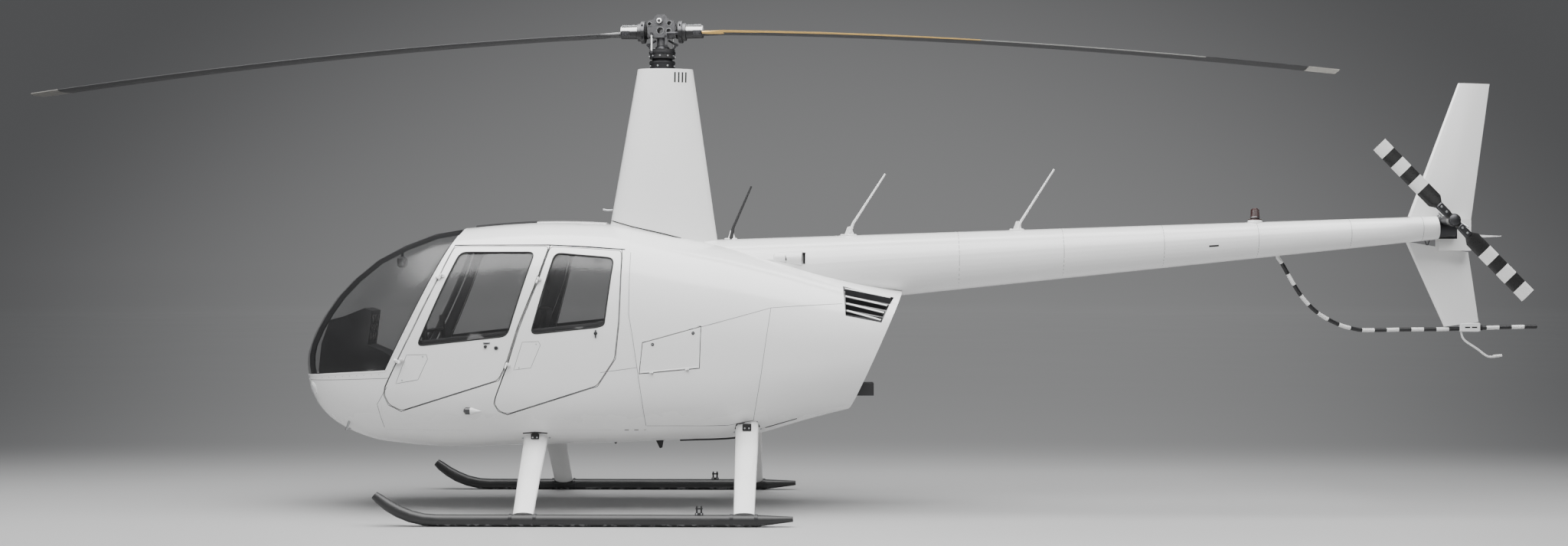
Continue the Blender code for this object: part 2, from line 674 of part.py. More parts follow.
def build_mast():
    fairing = skin_rings("fairing", [fairing_ring(*row) for row in FAIRING_ROWS], WHITE_PAINT)
    fairing = cut(fairing, pod(-TOUCH))
    fairing = cut(fairing, cone(TOUCH, 0.05))
    finish(fairing, "mast_fairing", WHITE_PAINT)
    low, high = FAIRING_TOP + TOUCH, SWASHPLATE_Z[0]
    base = tube("base", [(0, 0, z) for z in (low, high - 0.018, high - 0.0175, high)],
                [SWASHPLATE_RADIUS, SWASHPLATE_RADIUS, 0.074, 0.074], CAST_ALLOY, 20)
    finish(base, "swashplate_base", CAST_ALLOY)


# Main rotor, turned to its parked azimuth

ROTOR_RADIUS = 4.770
PARKED_TURN = math.radians(4.9)
BLADE_ROOT = 0.300
BLADE_ROOT_Z = 3.437
BLADE_DROOP = 0.365
BLADE_DROOP_POWER = 1.63
TEETER = 0.0073
BLADE_CHORD = 0.254
BLADE_THICK = 0.030
# The blade's root fitting as (out, chord, thickness); the blade has its full chord from BLADE_FULL
ROOT_ROWS = ((BLADE_ROOT, 0.10, 0.060), (0.36, 0.13, 0.050))
BLADE_FULL = 0.46
BLADE_STEPS = 12


def blade_height(r, way):
    """Height of a main blade's middle line; way is +1 aft, -1 forward."""
    return BLADE_ROOT_Z - BLADE_DROOP * (r / ROTOR_RADIUS) ** BLADE_DROOP_POWER + way * TEETER * r


def turned(r, across, way):
    """A point r out and across the chord, at the rotor's parked azimuth."""
    c, s = math.cos(PARKED_TURN), -math.sin(PARKED_TURN)
    x, y = way * r, across
    return x * c - y * s, x * s + y * c


def foil_ring(r, chord, thick, height, way, sides=16):
    """One blade section; its leading edge points where the blade is going."""
    ring = []
    for j in range(sides):
        turn = 2 * math.pi * j / sides
        u = math.cos(turn)
        across = way * chord * (0.5 * u - 0.25)
        z = height + 0.5 * thick * math.sin(turn) * (0.62 + 0.38 * u)
        x, y = turned(r, across, way)
        ring.append((x, y, z))
    return ring


# The hub's plate seen from the side as (out, height), and its bores as (out, height, radius)
HUB_PLATE = [(-0.030, 3.568), (0.022, 3.568), (0.050, 3.534), (0.090, 3.524), (0.100, 3.500),
             (0.100, 3.430), (0.074, 3.401), (-0.050, 3.401), (-0.098, 3.430), (-0.104, 3.500),
             (-0.094, 3.524), (-0.060, 3.534)]
HUB_BORES = [(-0.084, 3.500, 0.013), (0.060, 3.504, 0.016), (-0.006, 3.451, 0.024), (0.056, 3.448, 0.017)]
HUB_HALF = 0.055
MAST_RADIUS = 0.036
TEETER_BOLT = (-0.011, 3.522, 0.022)
# The pitch links stand this far out and across
LINK_AT = (0.040, 0.070)
# The blade grip's turned profile as (out, radius)
GRIP_PROFILE = [(0.040, 0.044), (0.122, 0.044), (0.124, 0.080), (0.150, 0.082), (0.154, 0.066),
                (0.176, 0.064), (0.180, 0.048), (0.299, 0.046)]
GRIP_Z = 3.445


def build_main_rotor():
    low, high = SWASHPLATE_Z
    hub = tube("hub", [(0, 0, z) for z in (low + SET_OFF, high, high + SET_OFF, HUB_PLATE[6][1] + 0.02)],
               [SWASHPLATE_RADIUS, SWASHPLATE_RADIUS, MAST_RADIUS, MAST_RADIUS], BARE_STEEL, 20)
    rings = [[(*turned(r, a, 1), z) for r, z in HUB_PLATE] for a in (-HUB_HALF, HUB_HALF)]
    hub = join(hub, skin_rings("plate", rings, BARE_STEEL, smooth=False))
    out, height, radius = TEETER_BOLT
    teeter = [(*turned(out, a, 1), height) for a in (-HUB_HALF - 0.015, HUB_HALF + 0.015)]
    hub = join(hub, tube("teeter_bolt", teeter, radius, BARE_STEEL, 12))
    for way in (-1, 1):
        path = [(*turned(r, 0, way), GRIP_Z - 0.002 * r) for r, _ in GRIP_PROFILE]
        hub = join(hub, tube("grip", path, [radius for _, radius in GRIP_PROFILE], BARE_STEEL, 16))
    for r, z, radius in HUB_BORES:
        ends = [(*turned(r, a, 1), z) for a in (-0.2, 0.2)]
        hub = cut(hub, tube("bore", ends, radius, BARE_STEEL, 10))
    for side in (-1, 1):
        x, y = turned(LINK_AT[0] * side, -LINK_AT[1] * side, 1)
        hub = join(hub, tube("link", [(x, y, SWASHPLATE_Z[1] - 0.018), (x, y, 3.43)], 0.010, BARE_STEEL, 10))
    finish(hub, "rotor_hub", BARE_STEEL)
    for word, way in (("aft", 1), ("forward", -1)):
        rows = list(ROOT_ROWS)
        for i in range(BLADE_STEPS + 1):
            r = BLADE_FULL + (ROTOR_RADIUS - BLADE_FULL) * i / BLADE_STEPS
            rows.append((r, BLADE_CHORD, BLADE_THICK))
        rings = [foil_ring(r, chord, thick, blade_height(r, way), way) for r, chord, thick in rows]
        blade = skin_rings("blade", rings, BLADE_PAINT)
        finish(blade, "main_blade_" + word, BLADE_PAINT)


# Tail: cone with its scoop, fins, stabiliser, gearbox, tail rotor, guard

FIN_Y = (0.090, 0.130)
UPPER_FIN = [(5.426, 2.109), (5.869, 1.990), (6.014, 3.071), (5.788, 3.077)]
LOWER_FIN = [(5.408, 1.926), (5.862, 1.849), (5.937, 1.343), (5.687, 1.308)]
TAIL_HUB = (5.635, -0.250, 2.075)
TAIL_RADIUS = 0.750
TAIL_CHORD = 0.116
TAIL_TURN = math.radians(45.6)


def build_fin(name, outline):
    """A flat-sided fin with a rounded leading edge and a thin trailing edge."""
    (x0, z0), (x1, z1), (x2, z2), (x3, z3) = outline
    middle, half = (FIN_Y[0] + FIN_Y[1]) / 2, (FIN_Y[1] - FIN_Y[0]) / 2
    shape = [(0.0, 0.0), (0.04, 0.62), (0.14, 1.0), (0.62, 1.0), (1.0, 0.12),
             (1.0, -0.12), (0.62, -1.0), (0.14, -1.0), (0.04, -0.62)]
    rings = []
    for (fx, fz), (rx, rz) in (((x0, z0), (x1, z1)), ((x3, z3), (x2, z2))):
        rings.append([(fx + (rx - fx) * u, middle + half * v, fz + (rz - fz) * u) for u, v in shape])
    fin = skin_rings(name, rings, WHITE_PAINT)
    finish(fin, name, WHITE_PAINT)


# The scoop on the tail cone's flank as (point, radius), and its open mouth
SCOOP = [((0.76, -0.140, 1.79), 0.012), ((0.83, -0.190, 1.80), 0.050), ((1.02, -0.215, 1.80), 0.058)]
SCOOP_MOUTH = [((0.90, -0.206, 1.80), 0.047), ((1.04, -0.2175, 1.80), 0.047)]
GEARBOX_LONG = 0.125
GEARBOX_RADIUS = 0.072
SHAFT_RADIUS = 0.034
FIN_PAD = ((5.618, 5.850), (0.011, FIN_Y[0] - TOUCH), (1.860, 2.083))
# The stabiliser's sections as (y, chord), all with one trailing edge
STABILISER = [(0.0903, 0.340), (0.55, 0.306), (0.86, 0.272)]
STABILISER_BACK = (6.095, 1.965)
STABILISER_HALF_THICK = 0.014
# Tail rotor hub as (y, radius), and its blades' sections as (out, chord, thickness)
TAIL_HUB_ROWS = [(-0.1905, 0.020), (-0.225, 0.020), (-0.2252, 0.045), (-0.275, 0.045)]
TAIL_BLADE_ROWS = [(0.02, 0.05, 0.030), (0.15, 0.06, 0.030), (0.19, TAIL_CHORD, 0.016),
                   (TAIL_RADIUS, TAIL_CHORD, 0.012)]
GUARD_PATH = [(4.450, 0, 1.850), (4.455, 0, 1.810), (4.476, 0, 1.782), (4.522, 0.005, 1.704),
              (4.572, 0.010, 1.617), (4.631, 0.020, 1.530), (4.696, 0.030, 1.458),
              (4.768, 0.040, 1.399), (4.856, 0.055, 1.349), (4.942, 0.065, 1.313),
              (5.028, 0.080, 1.292), (5.115, 0.090, 1.282), (5.406, 0.108, 1.286),
              (5.750, 0.110, 1.290), (6.078, 0.110, 1.302), (6.358, 0.110, 1.308)]
GUARD_RADIUS = 0.0145
GUARD_FOOT = [(5.800, 1.272), (5.930, 1.272), (5.930, 1.3417), (5.800, 1.3235)]
TAIL_SKID = [(5.812, 1.285), (5.832, 1.215), (5.930, 1.145), (6.011, 1.090), (6.106, 1.097)]
TAIL_SKID_RADIUS = 0.008


def tail_blade(way):
    """One tail rotor blade; way is +1 or -1 along the rotor's parked line."""
    c, s = math.cos(TAIL_TURN), math.sin(TAIL_TURN)
    rings = []
    for r, chord, thick in TAIL_BLADE_ROWS:
        ring = []
        for j in range(12):
            turn = 2 * math.pi * j / 12
            along, across = way * r, 0.5 * chord * math.cos(turn)
            ring.append((TAIL_HUB[0] + along * c + across * s, TAIL_HUB[1] + 0.5 * thick * math.sin(turn),
                         TAIL_HUB[2] - along * s + across * c))
        rings.append(ring)
    return skin_rings("tail_blade", rings, WHITE_PAINT)


def build_tail():
    tail = cut(cone(), inner_cone())
    tail = join(tail, tube("scoop", [p for p, _ in SCOOP], [r for _, r in SCOOP], WHITE_PAINT, 14))
    tail = cut(tail, tube("mouth", [p for p, _ in SCOOP_MOUTH], [r for _, r in SCOOP_MOUTH], WHITE_PAINT, 14))
    finish(tail, "tail_cone", WHITE_PAINT)

    build_fin("upper_fin", UPPER_FIN)
    build_fin("lower_fin", LOWER_FIN)

    ends = [CONE_TO + CONE_AHEAD * TOUCH, CONE_TO + CONE_AHEAD * GEARBOX_LONG]
    gearbox = tube("gearbox", ends, GEARBOX_RADIUS, CAST_ALLOY, 20)
    shaft = [(TAIL_HUB[0], y, TAIL_HUB[2]) for y in (TAIL_HUB_ROWS[0][0] + SET_OFF, 0.02)]
    gearbox = join(gearbox, tube("shaft", shaft, SHAFT_RADIUS, CAST_ALLOY, 16))
    gearbox = join(gearbox, box("pad", *FIN_PAD, CAST_ALLOY))
    finish(gearbox, "tail_gearbox", CAST_ALLOY)

    shape = [(0.0, 0.0), (0.05, 0.7), (0.3, 1.0), (1.0, 0.15), (1.0, -0.15), (0.3, -1.0), (0.05, -0.7)]
    back, height = STABILISER_BACK
    rings = []
    for y, chord in STABILISER:
        rings.append([(back - chord * (1 - u), y, height + STABILISER_HALF_THICK * v) for u, v in shape])
    finish(skin_rings("stabiliser", rings, WHITE_PAINT), "stabiliser", WHITE_PAINT)

    rotor = tube("rotor", [(TAIL_HUB[0], y, TAIL_HUB[2]) for y, _ in TAIL_HUB_ROWS],
                 [radius for _, radius in TAIL_HUB_ROWS], BARE_STEEL, 16)
    for way in (-1, 1):
        rotor = join(rotor, tail_blade(way))
    finish(rotor, "tail_rotor", WHITE_PAINT, TAIL_HUB)

    guard = cut(tube("guard", GUARD_PATH, GUARD_RADIUS, BLACK_PAINT, 12), cone(TOUCH))
    fin_middle = sum(FIN_Y) / 2
    guard = join(guard, prism("foot", GUARD_FOOT, fin_middle - 0.018, fin_middle + 0.018, BLACK_PAINT))
    skid = tube("skid", [(x, fin_middle, z) for x, z in TAIL_SKID], TAIL_SKID_RADIUS, BLACK_PAINT, 10)
    finish(join(guard, skid), "tail_guard", BLACK_PAINT)


# Aerials, lamps and probe

AERIALS = [
    # name, foot, bend and tip in the middle plane, foot radius, look
    ("aerial_front", ((0.490, 1.90), (0.515, 2.026), (0.647, 2.327)), 0.022, BLACK_TRIM),
    ("aerial_middle", ((1.340, 1.93), (1.384, 2.055), (1.619, 2.417)), 0.018, WHITE_PAINT),
    ("aerial_rear", ((2.560, 1.95), (2.597, 2.066), (2.841, 2.449)), 0.018, WHITE_PAINT),
]
AERIAL_BEND_RADIUS = 0.010
AERIAL_TIP_RADIUS = 0.007
BEACON_STATION = 4.290
# The beacon's profile above the tail cone as (height, radius)
BEACON = [(0.022, 0.048), (0.0222, 0.033), (0.090, 0.030), (0.102, 0.014)]
# The lamp on each flank as (station, height, radius)
NAV_LIGHT = [(-1.338, 0.740, 0.012), (-1.325, 0.740, 0.026), (-1.280, 0.740, 0.026), (-1.215, 0.738, 0.004)]
PROBE = [(-0.361, 2.156), (-0.372, 2.154), (-0.400, 2.154), (-0.432, 2.160)]
PROBE_RADIUS = 0.006


def build_fittings():
    for name, path, radius, look in AERIALS:
        radii = [radius, AERIAL_BEND_RADIUS, AERIAL_TIP_RADIUS]
        whip = tube(name, [(x, 0, z) for x, z in path], radii, look, 10)
        finish(cut(whip, cone(TOUCH)), name, look)
    centre, top = cone_at(BEACON_STATION)
    path = [(BEACON_STATION, 0, centre)] + [(BEACON_STATION, 0, centre + top + rise) for rise, _ in BEACON]
    lamp = tube("lamp", path, [0.050] + [radius for _, radius in BEACON], LENS, 20)
    finish(cut(lamp, cone(TOUCH)), "beacon", LENS)
    for word, side in SIDES:
        y = side * pod_width(NAV_LIGHT[2][0], NAV_LIGHT[2][1])
        radii = [radius for _, _, radius in NAV_LIGHT]
        light = tube("light", [(x, y, z) for x, z, _ in NAV_LIGHT], radii, WHITE_PAINT, 14)
        finish(cut(light, pod(-TOUCH)), "nav_light_" + word, WHITE_PAINT)
    probe = tube("probe", [(x, 0, z) for x, z in PROBE], PROBE_RADIUS, BARE_STEEL, 10)
    finish(probe, "pitot_tube", BARE_STEEL)


# Landing gear

TRACK_HALF = 1.060
SKID_RADIUS = 0.041
SKID_Z = SKID_RADIUS * math.cos(math.pi / 16)
# A skid as (station, height, radius)
SKID_ROWS = [(-1.856, 0.210, 0.028), (-1.820, 0.180, 0.036), (-1.760, 0.137, 0.039),
             (-1.690, 0.098, SKID_RADIUS), (-1.610, 0.066, SKID_RADIUS), (-1.520, 0.046, SKID_RADIUS),
             (-1.430, SKID_Z, SKID_RADIUS), (0.700, SKID_Z, SKID_RADIUS), (0.960, SKID_Z + 0.012, 0.018)]
STRUTS = [
    # place, station, top chord, foot chord
    ("front", -0.856, 0.165, 0.140),
    ("rear", 0.630, 0.160, 0.1415),
]
# A strut's middle line and thickness as (out, height, share of the way to the foot's chord, thickness)
STRUT_ROWS = [(0.400, 0.640, 0.0, 0.060), (0.480, 0.500, 0.0, 0.056), (0.760, 0.300, 0.5, 0.052),
              (1.040, 0.075, 1.0, 0.048)]
STRUT_LEAN = (0.62, 0.78)


def strut(side, station, top_chord, foot_chord):
    """One leg, an oval bar that leans out from the belly to its skid."""
    rings = []
    for across, z, share, thick in STRUT_ROWS:
        chord = top_chord + (foot_chord - top_chord) * share
        ring = []
        for j in range(16):
            turn = 2 * math.pi * j / 16
            out = 0.5 * thick * math.sin(turn)
            ring.append((station + 0.5 * chord * math.cos(turn), side * (across + out * STRUT_LEAN[0]),
                         z + out * STRUT_LEAN[1]))
        rings.append(ring)
    return skin_rings("leg", rings, WHITE_PAINT)


def build_gear():
    for word, side in SIDES:
        y = side * TRACK_HALF
        runner = tube("skid", [(x, y, z) for x, z, _ in SKID_ROWS], [r for _, _, r in SKID_ROWS], BLACK_PAINT,
                      16, flat=True)
        finish(runner, "skid_" + word, BLACK_PAINT)
        for place, station, top_chord, foot_chord in STRUTS:
            leg = cut(strut(side, station, top_chord, foot_chord), pod(-TOUCH))
            seat = tube("seat", [(-2.0, y, SKID_Z), (1.2, y, SKID_Z)], SKID_RADIUS + TOUCH, WHITE_PAINT, 16,
                        flat=True)
            finish(cut(leg, seat), "strut_" + place + "_" + word, WHITE_PAINT)


build_doors(build_cabin())
build_interior()
build_engine_bay()
build_mast()
build_main_rotor()
build_tail()
build_fittings()
build_gear()
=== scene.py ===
# %% [markdown]
# # Dressing a light helicopter
#
# The solids of a four-seat helicopter come in as a fixed frame. This lesson dresses them:
# paint, glass, trim, fasteners, cushions and instruments, each as a short cell.
# Lengths are metres. +X points aft, +Y to starboard, +Z up, and the camera looks along +Y.

# %% Load the frame
import json
import math
import bmesh
import bpy
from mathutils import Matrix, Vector
from mathutils.bvhtree import BVHTree

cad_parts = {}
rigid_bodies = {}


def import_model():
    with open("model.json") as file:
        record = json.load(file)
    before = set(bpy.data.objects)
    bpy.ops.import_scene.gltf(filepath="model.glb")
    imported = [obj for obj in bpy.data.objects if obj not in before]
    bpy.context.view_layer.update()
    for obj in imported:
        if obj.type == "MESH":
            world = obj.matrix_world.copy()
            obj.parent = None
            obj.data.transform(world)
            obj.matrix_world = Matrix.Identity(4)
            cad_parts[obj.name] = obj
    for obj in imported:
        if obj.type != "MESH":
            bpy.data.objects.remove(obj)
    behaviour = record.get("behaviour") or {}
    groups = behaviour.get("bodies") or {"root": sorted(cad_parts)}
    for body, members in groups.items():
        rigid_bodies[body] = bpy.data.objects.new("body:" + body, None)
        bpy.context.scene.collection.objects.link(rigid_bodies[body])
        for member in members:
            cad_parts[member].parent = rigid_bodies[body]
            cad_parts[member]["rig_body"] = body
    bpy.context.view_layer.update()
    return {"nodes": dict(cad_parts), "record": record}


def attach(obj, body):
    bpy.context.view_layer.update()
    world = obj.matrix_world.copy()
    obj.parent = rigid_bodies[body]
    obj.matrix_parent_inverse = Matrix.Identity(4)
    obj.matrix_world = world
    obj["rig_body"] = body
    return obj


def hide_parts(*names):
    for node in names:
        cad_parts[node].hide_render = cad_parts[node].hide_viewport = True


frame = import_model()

NODES = frame["nodes"]
MAST_X = -0.800
SIDES = (("left", -1), ("right", 1))
UP = Vector((0, 0, 1))


def at(station, y, z):
    """A point by its station (metres aft of the mast), its y and its height."""
    return Vector((station + MAST_X, y, z))


def link(name, data):
    """A new object in the scene, at the origin."""
    made = bpy.data.objects.new(name, data)
    bpy.context.scene.collection.objects.link(made)
    return made


def around(count, start=0.0):
    """The cosine and sine of evenly spaced turns; start is in radians."""
    turns = [2 * math.pi * k / count + start for k in range(count)]
    return [(math.cos(t), math.sin(t)) for t in turns]


# %% [markdown]
# ## Camera
# The photograph was taken level with the cabin roof, square to the side, from about
# fourteen metres. A lens is a focal length and a sensor width: only their ratio counts.

# %% Camera
CAMERA_AT = (0.283, -13.73, 1.753)
CAMERA_YAW, CAMERA_PITCH = math.radians(0.83), math.radians(-0.23)
FOCAL_LENGTH, SENSOR_WIDTH = 43.43, 36.0
lens = bpy.data.cameras.new("camera")
lens.sensor_width, lens.lens = SENSOR_WIDTH, FOCAL_LENGTH
camera = link("camera", lens)
camera.location = CAMERA_AT
camera.rotation_euler = (math.pi / 2 + CAMERA_PITCH, 0.0, CAMERA_YAW)
bpy.context.scene.camera = camera
print("camera", FOCAL_LENGTH, "mm at", CAMERA_AT)

# %% [markdown]
# ## Node helper
# Shaders and Geometry Nodes are both graphs. `Sock` wraps one output socket, so ordinary
# arithmetic on it adds Math nodes, and the graph reads like a formula. `Graph.node` makes
# every other node: its type, its settings first, then the values or links of its sockets.

# %% Node helper
class Sock:
    """One output socket of a node tree, with arithmetic that builds Math nodes."""

    def __init__(self, tree, socket):
        self.tree = tree
        self.socket = socket

    def math(self, how, other=None, swap=False):
        node = self.tree.nodes.new("ShaderNodeMath")
        node.operation = how
        pair = (other, self) if swap else (self, other)
        for slot, value in zip(node.inputs, pair):
            if value is not None:
                plug(self.tree, slot, value)
        return Sock(self.tree, node.outputs[0])

    def above(self, level):
        return self.math("GREATER_THAN", level)

    def below(self, level):
        return self.math("LESS_THAN", level)

    def most(self, other):
        return self.math("MAXIMUM", other)

    def size(self):
        return self.math("ABSOLUTE")

    def floor(self):
        return self.math("FLOOR")


ARITHMETIC = {"add": "ADD", "sub": "SUBTRACT", "mul": "MULTIPLY", "truediv": "DIVIDE", "pow": "POWER"}
for word, how in ARITHMETIC.items():
    setattr(Sock, f"__{word}__", lambda self, other, how=how: self.math(how, other))
    setattr(Sock, f"__r{word}__", lambda self, other, how=how: self.math(how, other, swap=True))


def plug(tree, slot, value):
    """Link a Sock to an input, or set the input's own value."""
    if isinstance(value, Sock):
        tree.links.new(value.socket, slot)
    else:
        slot.default_value = value


class Graph:
    """A node tree under construction."""

    def __init__(self, tree):
        self.tree = tree

    def node(self, kind, settings=None, inputs=None, output=0):
        made = self.tree.nodes.new(kind)
        for key, value in (settings or {}).items():
            setattr(made, key, value)
        for key, value in (inputs or {}).items():
            plug(self.tree, made.inputs[key], value)
        return Sock(self.tree, made.outputs[output])


class Look(Graph):
    """A Principled material under construction."""

    def __init__(self, name, colour, roughness, metallic=0.0, **constants):
        self.material = bpy.data.materials.new(name)
        self.material.use_nodes = True
        super().__init__(self.material.node_tree)
        self.shader = self.tree.nodes["Principled BSDF"]
        self.set(base_color=(*colour, 1.0), roughness=roughness, metallic=metallic, **constants)

    def set(self, **values):
        for key, value in values.items():
            name = {"ior": "IOR"}.get(key, key.replace("_", " ").title())
            plug(self.tree, self.shader.inputs[name], value)

    def place(self):
        """The object's own coordinates, as one vector socket."""
        return self.node("ShaderNodeTexCoord", output=3)

    def split(self):
        """The object's own x, y and z, as sockets."""
        x = self.node("ShaderNodeSeparateXYZ", inputs={0: self.place()})
        return [Sock(self.tree, out) for out in x.socket.node.outputs]

    def stretched(self, scale):
        """The object's coordinates with each axis scaled, for long or flat grain."""
        return self.node("ShaderNodeMapping", inputs={"Vector": self.place(), "Scale": scale})

    def noise(self, scale, detail=4.0, vector=None):
        wanted = {"Vector": vector or self.place(), "Scale": scale, "Detail": detail}
        return self.node("ShaderNodeTexNoise", inputs=wanted)

    def cells(self, scale):
        return self.node("ShaderNodeTexVoronoi", None, {"Vector": self.place(), "Scale": scale})

    def mix(self, factor, first, second):
        """Blend two colours."""
        pair = [c if isinstance(c, Sock) else (*c, 1.0) for c in (first, second)]
        wanted = {0: factor, 6: pair[0], 7: pair[1]}
        return self.node("ShaderNodeMix", {"data_type": "RGBA"}, wanted, 2)

    def ramp(self, value, low, high):
        """0 below low, 1 above high, and a soft step between."""
        wanted = {"Value": value, "From Min": low, "From Max": high}
        return self.node("ShaderNodeMapRange", {"interpolation_type": "SMOOTHSTEP"}, wanted)

    def bump(self, height, distance, strength=1.0):
        wanted = {"Height": height, "Distance": distance, "Strength": strength}
        self.set(normal=self.node("ShaderNodeBump", None, wanted))


# %% [markdown]
# ## Paint, rubber, plastic and bare metal
# Nothing on a machine is one flat colour. Gloss paint has a faint orange peel and a haze of
# dust that gathers low down. Moulded plastic is pebbled, rubber is dull, and metal shows
# the direction it was worked in. Each finish is one short function.

# %% Finishes
def white_paint(name="white_gloss", bright=0.86, dark_zone=None):
    """Gloss white over sheet metal: orange peel, soft haze, and dust towards the belly.

    dark_zone is a function from the look to a mask, 1 where the part is coloured dark: painted shade in the cowl
    grille's mouth, and a navigation lamp's dark lens.
    """
    look = Look(name, (bright,) * 3, 0.2, coat_weight=0.5, coat_roughness=0.06)
    haze = look.noise(2.6, 5.0)
    height = look.split()[2]
    low = 1 - look.ramp(height, 0.42, 0.95)
    dust = (look.noise(11.0, 6.0) * 0.5 + 0.3) * low
    clean = look.mix(haze, (bright * 0.965,) * 3, (bright, bright, bright * 0.992))
    shade = look.mix(dust * 0.35, clean, (0.55, 0.54, 0.52))
    if dark_zone:
        shade = look.mix(dark_zone(look), shade, (0.040, 0.040, 0.042))
    look.set(base_color=shade)
    look.set(roughness=haze * 0.08 + dust * 0.25 + 0.17)
    look.bump(look.noise(520.0, 2.0) + haze * 0.6, 0.00010, 0.6)
    return look.material


def plastic(name, colour, roughness, grain=900.0, depth=0.00015):
    """Moulded or painted black: a pebbled surface whose shine breaks up."""
    look = Look(name, colour, roughness)
    pebble = look.cells(grain)
    cloud = look.noise(9.0, 5.0)
    look.set(base_color=look.mix(cloud, tuple(0.8 * c for c in colour), tuple(1.25 * c for c in colour)))
    look.set(roughness=cloud * 0.18 + (roughness - 0.08))
    look.bump(pebble, depth, 0.7)
    return look.material


def metal(name, colour, roughness, grain=(40.0, 40.0, 900.0), white_zone=None):
    """Bare metal with the fine streaks of its machining; white_zone masks a painted part."""
    look = Look(name, colour, roughness, 1.0)
    streak = look.noise(1.0, 3.0, look.stretched(grain))
    stain = look.noise(14.0, 6.0)
    dark = tuple(0.62 * c for c in colour)
    shade = look.mix(stain, dark, colour)
    if white_zone:
        mask = white_zone(look)
        shade = look.mix(mask, shade, (0.78, 0.78, 0.77))
        look.set(metallic=1 - mask)
    look.set(base_color=shade, roughness=streak * 0.2 + stain * 0.1 + (roughness - 0.13))
    look.bump(streak, 0.00008, 0.5)
    return look.material


def glass():
    """Grey tinted acrylic.

    Both faces of a pane are drawn, and its shine fades with its alpha, so a high index of
    refraction brings the shine back to that of real acrylic.
    """
    look = Look("tinted_acrylic", (0.008, 0.008, 0.009), 0.2, ior=2.3)
    smear = look.noise(4.0, 5.0)
    look.set(alpha=smear * 0.04 + 0.165, roughness=smear * 0.08 + 0.20)
    look.bump(look.noise(1.6, 2.0), 0.0006, 0.25)
    return look.material


WHITE = white_paint()
TRIM = plastic("moulded_black", (0.020, 0.020, 0.021), 0.55)
RUBBER = plastic("rubber", (0.012, 0.012, 0.012), 0.72, 300.0, 0.0002)
BLACK = plastic("skid_black", (0.016, 0.016, 0.017), 0.40, 1400.0, 0.00008)
STEEL = metal("satin_steel", (0.55, 0.56, 0.57), 0.36)
DARK_METAL = metal("dark_metal", (0.10, 0.10, 0.105), 0.46)
LINING = plastic("cabin_lining", (0.022, 0.022, 0.024), 0.8, 700.0)
CAST = metal("dark_cast", (0.055, 0.055, 0.058), 0.55, (300.0, 300.0, 300.0))
GLASS = glass()
print("finishes", len(bpy.data.materials))

# %% [markdown]
# ## Stripes that follow a part
# Both rotors and the tail guard are striped so that people see them. On a blade the stripe
# is worked out from the distance to the hub, in the blade's own coordinates, so it turns
# with the blade. The main blades are dark. Along one trailing edge a yellow band that narrows
# outwards, and a pale band beyond it, are a painted reflection of the lamps, and the forward
# blade's upper edge is a painted highlight. A blade's own axes are the distance out and the
# distance across its chord.

# %% Blade finishes
ROTOR_RADIUS = 4.770
BLADE_DROOP = (3.437, 0.365, 1.63, 0.0073)
PARKED_TURN = math.radians(4.9)
YELLOW_REFLECTION_BAND = (0.300, 2.300)
PALE_REFLECTION_BAND = (2.300, 3.860)
TRAILING_EDGE = -0.1905
TIP_BAND = (4.560, 4.800)
TAIL_HUB = (5.635 + MAST_X, -0.250, 2.075)
TAIL_TURN = math.radians(45.6)
TAIL_RADIUS = 0.750
TAIL_STRIPE = 0.088


def rotor_axes(look):
    """Distance along the parked rotor, distance across it, and height, as sockets."""
    x, y, z = look.split()
    c, s = math.cos(PARKED_TURN), math.sin(PARKED_TURN)
    return (x - MAST_X) * c - y * s, (x - MAST_X) * s + y * c, z


def blade_look(name, way):
    """Dark blade paint, with a painted reflection along the aft blade's trailing edge and a painted highlight on the
    forward blade's upper edge; way is +1 for the blade that lies aft, -1 for the forward one.
    """
    look = Look(name, (0.035, 0.035, 0.037), 0.42)
    along, across, z = rotor_axes(look)
    out = along * way
    root, droop, power, teeter = BLADE_DROOP
    middle = root - (out / ROTOR_RADIUS).most(0.0001) ** power * droop
    rise = z - (middle + out * (way * teeter))
    speck = look.noise(130.0, 5.0)
    dark = look.mix(speck, (0.026, 0.026, 0.027), (0.048, 0.048, 0.050))
    if way > 0:
        # painted reflection: a yellow band along the trailing edge that narrows outwards, then a pale band
        narrowing = (across + out * 0.024 + 0.1055).below(0.0)
        root_end = out.below(0.46) * across.below(-0.055)
        yellow = narrowing.most(root_end) * out.above(YELLOW_REFLECTION_BAND[0]) * out.below(YELLOW_REFLECTION_BAND[1])
        pale = across.below(TRAILING_EDGE + 0.034) * out.above(PALE_REFLECTION_BAND[0]) * out.below(PALE_REFLECTION_BAND[1])
        shade = look.mix(yellow, dark, (0.80, 0.50, 0.13))
        shade = look.mix(pale * 0.55, shade, (0.60, 0.60, 0.57))
    else:
        # painted highlight: the forward blade's upper edge is made lighter
        edge = look.ramp(rise, 0.006, 0.011) * 0.5
        shade = look.mix(edge, dark, (0.50, 0.50, 0.50))
    tip = out.above(TIP_BAND[0])
    shade = look.mix(tip * (0.85 if way > 0 else 0.25), shade, (0.56, 0.54, 0.49))
    look.set(base_color=shade, roughness=speck * 0.2 + 0.34)
    look.bump(speck, 0.0001)
    return look.material


